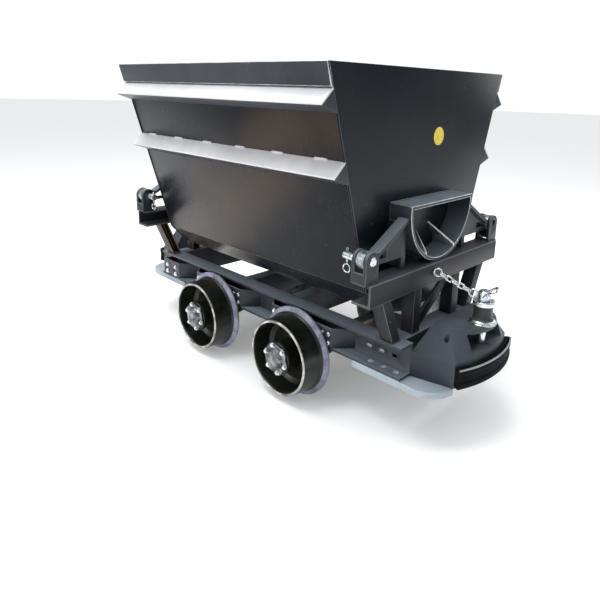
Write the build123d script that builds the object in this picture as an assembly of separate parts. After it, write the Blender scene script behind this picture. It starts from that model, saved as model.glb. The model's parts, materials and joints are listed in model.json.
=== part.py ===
from build123d import *
import math
import os

# Bucket-tipping mine cart for a 600 mm gauge track, all sizes in millimetres.
# +X runs along the track, +Z is up, and the cart stands on its wheel flanges at Z = 0.
# The tub is a welded steel hopper.  Its two end plates carry D-shaped rockers that rest on the
# end stands, and arms whose noses are pinned in clevises on the stand beams.

os.makedirs("parts", exist_ok=True)

# ---- driving dimensions -------------------------------------------------------------------
body_gap = 0.3          # clearance between pieces that move past each other
pin_clearance = 0.05    # radial running clearance of a pin or bearing in its bore

# tub
tub_length = 1218.0
rim_height = 1265.0
rim_half_width = 529.0
side_lean = 0.3         # outward lean of the side sheets, millimetres per millimetre of height
fold_height = 515.0     # where the side sheets turn inwards
belly_edge_height = 425.0
belly_half_width = 215.0
belly_drop = 40.0       # sag of the curved belly plate below its edges
sheet = 6.0
rim_bar_height = 72.0
rim_bar_thickness = 9.0
rail_drop = 46.0        # stiffener rail: top edge on the sheet down to the outer edge
rail_depth = 75.0       # stiffener rail: top edge on the sheet down to its lower edge on the sheet
rail_reach = 60.0       # how far a rail stands off the sheet
rail_sheet = 6.0
rail_pitch = 221.0
upper_rail_top = rim_height - rim_bar_height
lower_rail_top = upper_rail_top - rail_pitch
disc_radius = 33.0
disc_thickness = 1.5
disc_centre = (76.0, 1030.0)

# axis of the tipping pins
pivot_height = 669.0
pivot_reach = 49.8              # beyond the side sheet at that height
pivot_half_width = rim_half_width - side_lean * (rim_height - pivot_height) + pivot_reach

# rocker and arm
rocker_radius = 201.0
rocker_depth = 91.0
rocker_shell = 12.0
rocker_flat = 19.7      # straight top part of the rocker above its half circle
gusset_angle = 30.0     # each side of straight down
gusset_reach = 95.0
gusset_thickness = 8.0
arm_nose_radius = 30.0
arm_nose_width = 30.0
nose_set_back = 3.5             # nose behind the middle of the stand beam
arm_web = 12.0
arm_flange_width = 42.0
arm_flange = 12.0
arm_top_in = (204.0, 776.0)     # upper face of the arm flange at the rocker
arm_top_out = (pivot_half_width - 42.0, 686.0)  # upper face of the arm flange at the nose
arm_underside = 642.0
arm_post_inner = 190.0
arm_post_width = 22.0
arm_foot_gap = 6.0              # arm post above the stand beam
window_inner = pivot_half_width - 100.0
window_outer = pivot_half_width - 34.0
window_sill = 656.0

# stand
beam_past_pin = 20.0            # beam end beyond the tipping pin axis
beam_half_length = pivot_half_width + beam_past_pin
beam_top = 595.0
beam_height = 76.0
beam_depth = 75.0
beam_reach = 104.0              # beam front beyond the tub end
beam_front = tub_length / 2 + beam_reach
beam_wall = 8.0
leg_width = 45.0
leg_depth = 52.0
leg_wall = 6.0
leg_inset = 14.0                # leg behind the beam's back face
outer_leg_top = 318.0
outer_leg_foot = 245.0
inner_leg = 130.0
brace_width = 30.0
brace_thickness = 12.0

# tipping pins
pin_radius = 15.0
pin_tail = 118.0                # length of the lock pin
pin_travel = 58.0
pin_proud = 4.0                 # lock pin beyond the outer ear
split_pin_inset = 10.0          # split pin from the pin's tail
ear_thickness = 12.0
ear_gap = 3.0                   # between the arm nose and each ear
ear_half_width = 32.0
clevis_wall = 8.0
clevis_wall_height = 37.0
split_pin_radius = 3.0
split_pin_length = 54.0
ring_radius = 14.0

# chassis
bar_overhang = 32.0             # sole bar beyond the stand beam
bar_half_length = beam_front + bar_overhang
bar_web_face = 212.0            # outer face of the sole bar web
bar_web = 8.0
bar_flange_edge = 275.0
bar_top = 351.0
bar_height = 120.0
bar_flange = 9.0
end_member_back_margin = 12.0   # end member behind the stand legs
end_member_front_margin = 8.0
mid_member_x = 150.0
mid_member_width = 60.0
mid_member_height = 96.0
member_wall = 8.0
slot_start = bar_half_length - 180.0
slot_pitch = 55.0
slot_length = 26.0
slot_width = 14.0
slot_height = 278.0
flange_hole_start = bar_half_length - 148.0
flange_hole_radius = 11.0
foot_plate = 22.0
foot_plate_start = bar_half_length - 205.0
foot_plate_proud = 4.0          # foot plate edge beyond the sole bar flange
foot_plate_bend = 94.0          # start of its round corner, back from the drawhead corner
foot_plate_round = (26.0, 32.0) # middle of that corner: back from the drawhead corner, in from the edge
foot_plate_tip = (30.0, 24.0)   # inner end of its nose: back and in from the drawhead corner
end_hole_count = 3              # slots in the web and holes in the flange

# wheels and axles
wheelbase = 540.0
tread_radius = 150.0
flange_radius = 178.0
flange_thickness = 16.0
wheel_inner = 286.0             # inner face of the wheel flange
wheel_outer = 399.0             # outer edge of the wheel rim
tread_taper = 3.0
rim_thickness = 14.0
web_thickness = 14.0
web_at_rim = 306.0
web_at_hub = 318.0
hub_radius = 56.0
hub_face_radius = 66.0
hub_face_start = 372.0
hub_inner = 282.0
axle_radius = 25.0
axle_bore_clearance = 0.3
axle_proud = 3.0                # axle shoulder beyond the outer bearing
stud_radius = 14.0
bearing_radius = 42.0
bearing_width = 22.0
inner_bearing = 298.0
outer_bearing = 360.0
race_thickness = 5.0
roller_inset = 2.0
roller_count = 8
seal_radius = 31.0
nut_radius = 21.0
nut_thickness = 13.0
cover_flange = 8.0
cover_dome_radius = 42.0
cover_dome = 18.0
cover_wall = 6.0
cover_bolt_count = 6
cover_bolt_circle = 54.0
cover_bolt_radius = 4.0
cover_head_radius = 7.5
cover_head = 6.0
pedestal_half_length = 150.0
pedestal_foot_half = 48.0
pedestal_drop = 21.0
pedestal_plate = 16.0
pedestal_face = 262.0
boss_radius = 41.0
boss_drop = 40.0
hat_half_length = 165.0
hat_foot = 65.0
hat_plate = 8.0
hat_bottom = 243.0
hat_top = 316.0
hat_proud = 2.0                 # hat plate face beyond the sole bar flange edge
end_hat_outer = bar_half_length - 17.0
end_hat_inner = bar_half_length - 153.0
end_hat_bolt_inset = 32.0
bolt_rows = (255.0, 290.0)
bolt_near = 118.0
bolt_far = 150.0
bolt_radius = 6.0
bolt_head_radius = 10.5
bolt_head = 5.0

# drawhead and coupling
head_front = bar_half_length + 185.0
head_half_back = 214.0
head_half_front = 179.0
head_corner = head_front - 36.0
head_floor = 231.0
head_lip = 320.0
roof_top = 415.0
roof_thickness = 17.0
roof_back = bar_half_length + 30.0
roof_corner = head_front - 92.0
roof_half = 130.0
roof_front = head_front - 8.0
mouth_back = head_front - 78.0
mouth_half = 105.0
mouth_floor = 338.0
core_wall = 20.0
core_front = mouth_back - 2.0
head_hole = (head_front - 91.0, 148.0)
head_hole_radius = 9.0
buffer_thickness = 25.0
buffer_bottom = 238.0
buffer_top = 308.0
buffer_half = 188.0
coupler_x = head_front - 45.0
coupler_radius = 17.0
coupler_foot = 300.0
coupler_socket_floor = 296.0
collar_base_radius = 44.0
collar_base = 12.0
collar_neck_radius = 33.0
collar_neck = 50.0
collar_lip_radius = 38.0
collar_lip = 17.0
head_radius = 22.0
head_height = 34.0
eye_radius = 14.0
eye_wire = 3.5
bail_wire = 4.5
bail_half_width = 28.0
bail_height = 48.0
bail_lean = 55.0
bail_stub_radius = 3.4
anchor_y = -55.0
anchor_z = 566.0
chain_wire = 3.5
link_bend = 8.0
link_play = 0.6
link_count = 5
last_link_slack = 4.2


# ---- helpers ------------------------------------------------------------------------------
def block(x0, x1, y0, y1, z0, z1):
    """Box between two corners."""
    centre = Pos((x0 + x1) / 2, (y0 + y1) / 2, (z0 + z1) / 2)
    return centre * Box(abs(x1 - x0), abs(y1 - y0), abs(z1 - z0))


def slab_x(points, x0, x1):
    """Outline in (y, z) made into a plate from x0 to x1."""
    face = make_face(Plane.YZ.offset(x0) * Polyline(*points, close=True))
    return extrude(face, x1 - x0, dir=(1, 0, 0))


def slab_y(points, y0, y1):
    """Outline in (x, z) made into a plate from y0 to y1, with y0 the smaller."""
    face = make_face(Plane.XZ.offset(-y0) * Polyline(*points, close=True))
    return extrude(face, y1 - y0, dir=(0, 1, 0))


def slab_z(points, z0, z1):
    """Outline in (x, y) made into a plate from z0 to z1."""
    face = make_face(Plane.XY.offset(z0) * Polyline(*points, close=True))
    return extrude(face, z1 - z0, dir=(0, 0, 1))


def rod_x(y, z, radius, x0, x1):
    """Round bar along X."""
    return Pos((x0 + x1) / 2, y, z) * Rot(0, 90, 0) * Cylinder(radius, abs(x1 - x0))


def rod_y(x, z, radius, y0, y1):
    """Round bar along Y."""
    return Pos(x, (y0 + y1) / 2, z) * Rot(90, 0, 0) * Cylinder(radius, abs(y1 - y0))


def rod_z(x, y, radius, z0, z1):
    """Round bar along Z."""
    return Pos(x, y, (z0 + z1) / 2) * Cylinder(radius, abs(z1 - z0))


def other_side(shape):
    """The same piece on the opposite long side."""
    return mirror(shape, about=Plane.XZ)


def other_end(shape):
    """The same piece at the opposite end of the cart, turned half round."""
    return Rot(0, 0, 180) * shape


def mirrored_end(shape):
    """The same piece at the opposite end of the cart, mirrored."""
    return mirror(shape, about=Plane.YZ)


def save(name, *shapes):
    """Write one node, keeping its pieces as separate solids."""
    solids = [solid for shape in shapes for solid in shape.solids()]
    whole = solids[0] if len(solids) == 1 else Compound(children=solids)
    export_step(whole, f"parts/{name}.step")


# ---- tub ----------------------------------------------------------------------------------
tub_end = tub_length / 2
slope_width = math.sqrt(1 + side_lean**2)   # horizontal width of a unit thick leaning sheet


def side_at(z):
    """Half width of the tub's outer face at height z."""
    return rim_half_width - side_lean * (rim_height - z)


def side_sheet():
    """Flat leaning side of the hopper, on the -Y side."""
    low = side_at(fold_height)
    inset = sheet * slope_width
    outline = [
        (-rim_half_width, rim_height),
        (-low, fold_height),
        (-low + inset, fold_height),
        (-rim_half_width + inset, rim_height),
    ]
    return slab_x(outline, -tub_end + sheet, tub_end - sheet)


def lower_panel():
    """Strip between the fold and the belly, turned inwards, on the -Y side."""
    low = side_at(fold_height)
    run = low - belly_half_width
    rise = fold_height - belly_edge_height
    inset = sheet * math.hypot(run, rise) / rise
    outline = [
        (-low, fold_height),
        (-belly_half_width, belly_edge_height),
        (-belly_half_width + inset, belly_edge_height),
        (-low + inset, fold_height),
    ]
    return slab_x(outline, -tub_end + sheet, tub_end - sheet)


def belly_plate():
    """Curved bottom sheet that closes the hopper."""
    plane = Plane.YZ.offset(-tub_end + sheet)
    low = belly_edge_height - belly_drop
    edge = belly_half_width
    outer = ThreePointArc((-edge, belly_edge_height), (0, low), (edge, belly_edge_height))
    inner_half = belly_half_width - sheet * 2
    middle = (0, low + sheet)
    inner = ThreePointArc((inner_half, belly_edge_height), middle, (-inner_half, belly_edge_height))
    left = Line((belly_half_width, belly_edge_height), (inner_half, belly_edge_height))
    right = Line((-inner_half, belly_edge_height), (-belly_half_width, belly_edge_height))
    face = make_face([plane * edge for edge in (outer, left, inner, right)])
    return extrude(face, tub_length - 2 * sheet, dir=(1, 0, 0))


def end_plate():
    """Flat end of the hopper with the full outline, at the +X end."""
    plane = Plane.YZ.offset(tub_end - sheet)
    low = side_at(fold_height)
    corners = [
        (belly_half_width, belly_edge_height),
        (low, fold_height),
        (rim_half_width, rim_height),
        (-rim_half_width, rim_height),
        (-low, fold_height),
        (-belly_half_width, belly_edge_height),
    ]
    bottom = (0, belly_edge_height - belly_drop)
    edges = [Line(a, b) for a, b in zip(corners, corners[1:])]
    edges.append(ThreePointArc(corners[-1], bottom, corners[0]))
    face = make_face([plane * edge for edge in edges])
    return extrude(face, sheet, dir=(1, 0, 0))


def rim_bar():
    """Flat bar along the top of a side sheet, on the -Y side."""
    foot = rim_height - rim_bar_height
    out = rim_bar_thickness * slope_width
    outline = [
        (-rim_half_width, rim_height),
        (-side_at(foot), foot),
        (-side_at(foot) - out, foot),
        (-rim_half_width - out, rim_height),
    ]
    return slab_x(outline, -tub_end, tub_end)


def rail_corners(top):
    """Corners of a stiffener rail's section: top on the sheet, outer edge, foot on the sheet."""
    return (
        (-side_at(top), top),
        (-side_at(top - rail_drop) - rail_reach, top - rail_drop),
        (-side_at(top - rail_depth), top - rail_depth),
    )


def rail_top(top):
    """Sloping upper plate of a stiffener rail."""
    upper, outer, _ = rail_corners(top)
    under = [(outer[0], outer[1] - rail_sheet), (upper[0] + side_lean * rail_sheet, upper[1] - rail_sheet)]
    return slab_x([upper, outer, *under], -tub_end, tub_end)


def rail_back(top):
    """Lower plate of a stiffener rail with its two closed ends."""
    upper, outer, foot = rail_corners(top)
    inner_top = (upper[0] + side_lean * rail_sheet, upper[1] - rail_sheet)
    inner_out = (outer[0], outer[1] - rail_sheet)
    whole = slab_x([inner_top, inner_out, foot], -tub_end, tub_end)
    hollow_foot = (foot[0] - side_lean * rail_sheet * 2, foot[1] + rail_sheet * 2)
    hollow = slab_x([inner_top, inner_out, hollow_foot], -tub_end + rail_sheet, tub_end - rail_sheet)
    return whole - hollow


def marker_disc():
    """Plain round plate on the end of the tub."""
    y, z = disc_centre
    return rod_x(y, z, disc_radius, tub_end, tub_end + disc_thickness)


save("side_sheet_left", side_sheet())
save("side_sheet_right", other_side(side_sheet()))
save("lower_panels", lower_panel(), other_side(lower_panel()))
save("belly_plate", belly_plate())
save("end_plate_near", end_plate())
save("end_plate_far", mirrored_end(end_plate()))
save("rim_bars", rim_bar(), other_side(rim_bar()))
rail_tops = [rail_top(z) for z in (upper_rail_top, lower_rail_top)]
rail_backs = [rail_back(z) for z in (upper_rail_top, lower_rail_top)]
save("rail_tops", *rail_tops, *map(other_side, rail_tops))
save("rail_backs", *rail_backs, *map(other_side, rail_backs))
save("marker_disc", marker_disc())

# ---- rockers and arms ---------------------------------------------------------------------
rocker_centre = beam_top + body_gap + rocker_radius
rocker_top = rocker_centre + rocker_flat
rocker_front = tub_end + rocker_depth


def rocker():
    """D-shaped rocker welded to the end plate, at the +X end."""
    depth = (tub_end, rocker_front)
    inner = rocker_radius - rocker_shell
    outer_round = rod_x(0, rocker_centre, rocker_radius, *depth)
    inner_round = rod_x(0, rocker_centre, inner, *depth)
    above = block(*depth, -rocker_radius, rocker_radius, rocker_centre, rocker_centre + rocker_radius)
    walls = block(*depth, -rocker_radius, rocker_radius, rocker_centre, rocker_top)
    space = block(*depth, -inner, inner, rocker_centre, rocker_top - rocker_shell)
    return (outer_round - above) + walls - (inner_round - above) - space


def rocker_gusset(side):
    """Triangular rib inside the rocker, tapering from the end plate to the front edge."""
    shell = rocker_radius - rocker_shell
    outline = [
        (tub_end, -shell),
        (rocker_front, -shell),
        (rocker_front, -shell + gusset_thickness),
        (tub_end, -shell + gusset_reach),
    ]
    flat = slab_y(outline, -gusset_thickness / 2, gusset_thickness / 2)
    rib = Pos(0, 0, rocker_centre) * Rot(side * gusset_angle, 0, 0) * flat
    return rib & rod_x(0, rocker_centre, shell, tub_end, rocker_front)


nose_centre_x = beam_front - beam_depth / 2 - nose_set_back
nose_back = nose_centre_x - arm_nose_width / 2
nose_front = nose_centre_x + arm_nose_width / 2


def arm():
    """Welded arm from the rocker out to its nose on the -Y side, at the +X end."""
    web_back = nose_centre_x - arm_web / 2
    web_front = nose_centre_x + arm_web / 2
    slope = (arm_top_in[1] - arm_top_out[1]) / (arm_top_out[0] - arm_top_in[0])
    under = arm_flange * math.hypot(1, slope)

    def top_at(y):
        return arm_top_in[1] - (y - arm_top_in[0]) * slope

    inner = arm_post_inner
    post = inner + arm_post_width
    foot = beam_top + arm_foot_gap
    outline = [
        (-inner, top_at(inner) - under),
        (-arm_top_out[0] - 6, top_at(arm_top_out[0] + 6) - under),
        (-pivot_half_width, pivot_height),
        (-pivot_half_width, arm_underside),
        (-post, arm_underside),
        (-post, foot),
        (-inner, foot),
    ]
    web = slab_x(outline, web_back, web_front)
    window = [
        (-window_inner, window_sill),
        (-window_inner, top_at(window_inner) - under - arm_web),
        (-window_outer, max(top_at(window_outer) - under - arm_web, window_sill + 4)),
        (-window_outer, window_sill),
    ]
    web -= slab_x(window, web_back, web_front)
    flange = slab_x(
        [
            (-arm_top_in[0], arm_top_in[1]),
            (-arm_top_out[0], arm_top_out[1]),
            (-arm_top_out[0], arm_top_out[1] - under),
            (-arm_top_in[0], arm_top_in[1] - under),
        ],
        nose_centre_x - arm_flange_width / 2,
        nose_centre_x + arm_flange_width / 2,
    )
    post_plate = block(tub_end, web_back, -inner - arm_web, -inner, foot, top_at(inner) - under - arm_web)
    nose = rod_x(-pivot_half_width, pivot_height, arm_nose_radius, nose_back, nose_front)
    bore = rod_x(-pivot_half_width, pivot_height, pin_radius + body_gap, nose_back, nose_front)
    whole = web + flange + post_plate + nose - bore
    return whole - rod_x(0, rocker_centre, rocker_radius, tub_end, rocker_front)


save("rocker_near", rocker())
save("rocker_far", other_end(rocker()))
gussets = [rocker_gusset(-1), rocker_gusset(1)]
save("rocker_gussets", *gussets, *map(other_end, gussets))
near_arms = [arm(), other_side(arm())]
save("arms_near", *near_arms)
save("arms_far", *map(mirrored_end, near_arms))

# ---- stands -------------------------------------------------------------------------------
beam_back = beam_front - beam_depth
beam_bottom = beam_top - beam_height


def stand_beam():
    """Channel across the end of the cart, web outwards, at the +X end."""
    whole = block(beam_back, beam_front, -beam_half_length, beam_half_length, beam_bottom, beam_top)
    inside = block(
        beam_back,
        beam_front - beam_wall,
        -beam_half_length,
        beam_half_length,
        beam_bottom + beam_wall,
        beam_top - beam_wall,
    )
    return whole - inside


leg_back = beam_back + leg_inset
leg_front = leg_back + leg_depth


def leg(top_y, foot_y):
    """Channel leg from the sole frame up to the beam, open towards the tub."""
    half = leg_width / 2
    outline = [
        (top_y - half, beam_bottom),
        (top_y + half, beam_bottom),
        (foot_y + half, bar_top),
        (foot_y - half, bar_top),
    ]
    inside = [
        (top_y - half + leg_wall, beam_bottom),
        (top_y + half - leg_wall, beam_bottom),
        (foot_y + half - leg_wall, bar_top),
        (foot_y - half + leg_wall, bar_top),
    ]
    return slab_x(outline, leg_back, leg_front) - slab_x(inside, leg_back, leg_front - leg_wall)


def brace():
    """Flat diagonal between the inner legs."""
    reach = inner_leg - leg_width / 2
    outline = [
        (-reach, bar_top),
        (-reach + brace_width, bar_top),
        (reach, beam_bottom - brace_width),
        (reach, beam_bottom),
        (reach - brace_width, beam_bottom),
        (-reach, bar_top + brace_width),
    ]
    middle = (leg_back + leg_front) / 2
    return slab_x(outline, middle - brace_thickness / 2, middle + brace_thickness / 2)


def clevis():
    """Two ears with a low outer wall, which hold an arm nose, on the -Y side at the +X end."""
    pieces = []
    for back in (nose_back - ear_gap - ear_thickness, nose_front + ear_gap):
        front = back + ear_thickness
        plate = block(
            back,
            front,
            -pivot_half_width - ear_half_width,
            -pivot_half_width + ear_half_width,
            beam_top,
            pivot_height,
        )
        pieces.append(plate + rod_x(-pivot_half_width, pivot_height, ear_half_width, back, front))
    outer = -pivot_half_width - ear_half_width
    wall = block(
        nose_back - ear_gap,
        nose_front + ear_gap,
        outer,
        outer + clevis_wall,
        beam_top,
        beam_top + clevis_wall_height,
    )
    bore = rod_x(
        -pivot_half_width,
        pivot_height,
        pin_radius + pin_clearance,
        nose_back - ear_gap - ear_thickness,
        nose_front + ear_gap + ear_thickness,
    )
    return pieces[0] + pieces[1] + wall - bore


save("stand_beam_near", stand_beam())
save("stand_beam_far", other_end(stand_beam()))
outer_leg = leg(-outer_leg_top, -outer_leg_foot)
inner_post = leg(-inner_leg, -inner_leg)
near_legs = [outer_leg, inner_post, other_side(inner_post), other_side(outer_leg), brace()]
save("stand_legs_near", *near_legs)
save("stand_legs_far", *map(other_end, near_legs))
near_clevises = [clevis(), other_side(clevis())]
save("clevises_near", *near_clevises)
save("clevises_far", *map(mirrored_end, near_clevises))


# ---- tipping lock pins --------------------------------------------------------------------
def lock_pin(drawn_back):
    """Headless lock pin with a split pin and pull ring, on the -Y side at the +X end."""
    front = nose_front + ear_gap + ear_thickness + pin_proud - drawn_back
    tail = front - pin_tail
    cross = tail + split_pin_inset
    half = split_pin_length / 2
    shaft = rod_x(-pivot_half_width, pivot_height, pin_radius, tail, front)
    low = pivot_height - half
    high = pivot_height + half
    hole = rod_z(cross, -pivot_half_width, split_pin_radius + body_gap, low, high)
    split_pin = rod_z(cross, -pivot_half_width, split_pin_radius, low, high)
    loop_height = pivot_height - half - ring_radius - split_pin_radius - body_gap
    ring = Pos(cross, -pivot_half_width, loop_height) * Rot(90, 0, 0) * Torus(ring_radius, split_pin_radius)
    return shaft - hole, split_pin, ring


engaged = lock_pin(0)
stored = [other_side(piece) for piece in lock_pin(pin_travel)]
save("lock_pin_near_left", *engaged)
save("lock_pin_near_right", *stored)
save("lock_pin_far_left", *map(mirrored_end, engaged))
save("lock_pin_far_right", *map(mirrored_end, stored))

# ---- chassis ------------------------------------------------------------------------------
bar_bottom = bar_top - bar_height


def sole_bar():
    """Long channel with its flanges outwards, on the -Y side, drilled at its +X end."""
    inner_face = -bar_web_face + bar_web
    whole = block(-bar_half_length, bar_half_length, -bar_flange_edge, inner_face, bar_bottom, bar_top)
    trough = block(
        -bar_half_length,
        bar_half_length,
        -bar_flange_edge,
        -bar_web_face,
        bar_bottom + bar_flange,
        bar_top - bar_flange,
    )
    bar = whole - trough
    for index in range(end_hole_count):
        x = slot_start + index * slot_pitch
        half = (slot_length - slot_width) / 2
        for end in (-half, half):
            bar -= rod_y(x + end, slot_height, slot_width / 2, -bar_web_face, inner_face)
        bar -= block(
            x - half,
            x + half,
            -bar_web_face,
            inner_face,
            slot_height - slot_width / 2,
            slot_height + slot_width / 2,
        )
        y = -(bar_web_face + bar_flange_edge) / 2
        hole_x = flange_hole_start + index * slot_pitch
        bar -= rod_z(hole_x, y, flange_hole_radius, bar_bottom, bar_bottom + bar_flange)
    return bar


def end_member():
    """Box section across the chassis under a stand, at the +X end."""
    inner = bar_web_face - bar_web
    back = leg_back - end_member_back_margin
    front = leg_front + end_member_front_margin
    whole = block(back, front, -inner, inner, bar_bottom, bar_top)
    inside = block(
        back + member_wall,
        front - member_wall,
        -inner,
        inner,
        bar_bottom + member_wall,
        bar_top - member_wall,
    )
    return whole - inside


def mid_member(centre):
    """Smaller box section across the chassis between the axles."""
    inner = bar_web_face - bar_web
    half = mid_member_width / 2
    low = bar_bottom + (bar_height - mid_member_height) / 2
    high = low + mid_member_height
    whole = block(centre - half, centre + half, -inner, inner, low, high)
    inside = block(
        centre - half + member_wall,
        centre + half - member_wall,
        -inner,
        inner,
        low + member_wall,
        high - member_wall,
    )
    return whole - inside


def foot_plate_piece(drilled_plate):
    """Plate under the end of a sole bar that curves in under the drawhead, -Y side, +X end."""
    edge = bar_flange_edge + foot_plate_proud
    inner_edge = -bar_web_face + bar_web
    start = (foot_plate_start, -edge)
    bend = (head_corner - foot_plate_bend, -edge)
    corner = (head_corner, -head_half_front)
    middle = (head_corner - foot_plate_round[0], -edge + foot_plate_round[1])
    tip = (head_corner - foot_plate_tip[0], -head_half_front + foot_plate_tip[1])
    inner = [corner, tip, (bar_half_length, inner_edge), (foot_plate_start, inner_edge)]
    edges = [Line(start, bend), ThreePointArc(bend, middle, corner)]
    edges += [Line(a, b) for a, b in zip(inner, inner[1:])]
    edges.append(Line(inner[-1], start))
    low = bar_bottom - foot_plate
    plate = extrude(Pos(0, 0, low) * make_face(edges), foot_plate, dir=(0, 0, 1))
    if not drilled_plate:
        return plate
    y = -(bar_web_face + bar_flange_edge) / 2
    for index in range(end_hole_count):
        hole_x = flange_hole_start + index * slot_pitch
        plate -= rod_z(hole_x, y, flange_hole_radius, low, bar_bottom)
    return plate


left_bar = sole_bar()
save("sole_bar_left", left_bar)
save("sole_bar_right", other_end(left_bar))
save("end_members", end_member(), other_end(end_member()))
save("mid_members", mid_member(-mid_member_x), mid_member(mid_member_x))
near_feet = [foot_plate_piece(True), other_side(foot_plate_piece(False))]
save("foot_plates", *near_feet, *map(other_end, near_feet))

# ---- wheels, axles and brackets -----------------------------------------------------------
axle_height = flange_radius
half_base = wheelbase / 2


def turned(profile, x, side):
    """Revolve a closed (radius, distance from the centre line) profile about an axle."""
    edges = [(x + radius, side * out) for radius, out in profile]
    face = make_face(Plane.XY.offset(axle_height) * Polyline(*edges, close=True))
    return revolve(face, Axis((x, 0, axle_height), (0, 1, 0)), 360)


def wheel(x, side):
    """Flanged wheel with a deep dish and a bored hub."""
    rim_inner = tread_radius - rim_thickness
    profile = [
        (seal_radius, hub_inner),
        (hub_radius, hub_inner),
        (hub_radius, web_at_hub - web_thickness),
        (rim_inner, web_at_rim - web_thickness),
        (rim_inner, wheel_inner),
        (flange_radius - 8, wheel_inner),
        (flange_radius, wheel_inner + 6),
        (flange_radius, wheel_inner + flange_thickness - 6),
        (flange_radius - 6, wheel_inner + flange_thickness),
        (tread_radius + tread_taper + 6, wheel_inner + flange_thickness + 4),
        (tread_radius + tread_taper, wheel_inner + flange_thickness + 12),
        (tread_radius, wheel_outer - 3),
        (tread_radius - 3, wheel_outer),
        (rim_inner + 2, wheel_outer),
        (rim_inner, web_at_rim),
        (hub_radius, web_at_hub),
        (hub_radius, hub_face_start),
        (hub_face_radius, hub_face_start + 6),
        (hub_face_radius, wheel_outer),
        (bearing_radius, wheel_outer),
        (bearing_radius, outer_bearing),
        (bearing_radius - 5, outer_bearing),
        (bearing_radius - 5, inner_bearing + bearing_width),
        (bearing_radius, inner_bearing + bearing_width),
        (bearing_radius, inner_bearing),
        (seal_radius, inner_bearing),
    ]
    body = turned(profile, x, side)
    low, high = sorted((side * wheel_outer, side * (wheel_outer - 20)))
    for hole_x, hole_z in cover_bolt_places(x):
        body -= rod_y(hole_x, hole_z, cover_bolt_radius, low, high)
    return body


def cover_bolt_places(x):
    """Centres of the hub cover bolts in the XZ plane."""
    places = []
    for index in range(cover_bolt_count):
        angle = math.radians(360 / cover_bolt_count * index)
        reach = cover_bolt_circle
        places.append((x + reach * math.cos(angle), axle_height + reach * math.sin(angle)))
    return places


def bearings(x, side):
    """Two roller bearings between the axle and the hub."""
    pieces = []
    bore = axle_radius + pin_clearance
    race = race_thickness
    pitch = (bore + race + bearing_radius - race) / 2
    for start in (inner_bearing, outer_bearing):
        end = start + bearing_width
        low, high = sorted((side * start, side * end))
        outer = rod_y(x, axle_height, bearing_radius, low, high)
        pieces.append(outer - rod_y(x, axle_height, bearing_radius - race, low, high))
        inner = rod_y(x, axle_height, bore + race, low, high)
        pieces.append(inner - rod_y(x, axle_height, bore, low, high))
        roller = (bearing_radius - bore - 2 * race) / 2
        for index in range(roller_count):
            angle = math.radians(360 / roller_count * index)
            place = (x + pitch * math.cos(angle), axle_height + pitch * math.sin(angle))
            pieces.append(rod_y(*place, roller, low + roller_inset, high - roller_inset))
    return pieces


def hub_cover(x, side):
    """Domed cover over the axle end, with its ring of bolts."""
    face = wheel_outer + cover_flange
    peak = face + cover_dome
    profile = [
        (0, peak),
        (cover_dome_radius - 12, peak),
        (cover_dome_radius, peak - 8),
        (cover_dome_radius, face),
        (hub_face_radius, face),
        (hub_face_radius, wheel_outer),
        (cover_dome_radius - cover_wall, wheel_outer),
        (cover_dome_radius - cover_wall, peak - cover_wall),
        (0, peak - cover_wall),
    ]
    cover = turned(profile, x, side)
    bolts = []
    for hole_x, hole_z in cover_bolt_places(x):
        low, high = sorted((side * wheel_outer, side * face))
        cover -= rod_y(hole_x, hole_z, cover_bolt_radius, low, high)
        low, high = sorted((side * (wheel_outer - 18), side * face))
        shank = rod_y(hole_x, hole_z, cover_bolt_radius, low, high)
        low, high = sorted((side * face, side * (face + cover_head)))
        head = extrude(
            Plane.XZ.offset(-low) * Pos(hole_x, hole_z) * RegularPolygon(cover_head_radius, 6),
            high - low,
            dir=(0, 1, 0),
        )
        bolts.append(shank + head)
    return [cover, *bolts]


axle_end = outer_bearing + bearing_width + axle_proud
stud_end = axle_end + nut_thickness


def axle(x):
    """Fixed axle through both pedestals, with a smaller threaded stud at each end."""
    stud = rod_y(x, axle_height, stud_radius, -stud_end, stud_end)
    return stud + rod_y(x, axle_height, axle_radius, -axle_end, axle_end)


def axle_nut(x, side):
    """Castle nut that keeps the wheel on the axle, inside the hub cover."""
    low, high = sorted((side * axle_end, side * (stud_end - 1)))
    hexagon = extrude(
        Plane.XZ.offset(-low) * Pos(x, axle_height) * RegularPolygon(nut_radius, 6),
        high - low,
        dir=(0, 1, 0),
    )
    return hexagon - rod_y(x, axle_height, stud_radius, low, high)


def pedestal(x, side):
    """Cast bracket under the sole bar with the boss that holds the axle."""
    outline = [
        (x - pedestal_half_length, bar_bottom),
        (x + pedestal_half_length, bar_bottom),
        (x + pedestal_half_length, bar_bottom - pedestal_drop),
        (x + pedestal_foot_half, axle_height - boss_drop),
        (x - pedestal_foot_half, axle_height - boss_drop),
        (x - pedestal_half_length, bar_bottom - pedestal_drop),
    ]
    low, high = sorted((side * pedestal_face, side * (pedestal_face - pedestal_plate)))
    plate = slab_y(outline, low, high)
    low, high = sorted((side * bar_flange_edge, side * bar_web_face))
    boss = rod_y(x, axle_height, boss_radius, low, high)
    seat = rod_y(x, axle_height, axle_radius + axle_bore_clearance, low, high)
    return plate + boss - seat


def hat_piece(x_left, x_right, foot_left, foot_right, side):
    """Pressed hat plate over the channel mouth: outer face and sloping returns to the web."""
    face = bar_flange_edge + hat_proud
    inner = face - hat_plate
    outline = [(x_left, face), (x_right, face)]
    outline += [(x_right + foot_right, bar_web_face), (x_right + foot_right - hat_plate, bar_web_face)]
    outline += [(x_right - hat_plate / 2, inner), (x_left + hat_plate / 2, inner)]
    outline += [(x_left - foot_left + hat_plate, bar_web_face), (x_left - foot_left, bar_web_face)]
    points = [(x, side * y) for x, y in outline]
    return slab_z(points, hat_bottom, hat_top)


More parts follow.
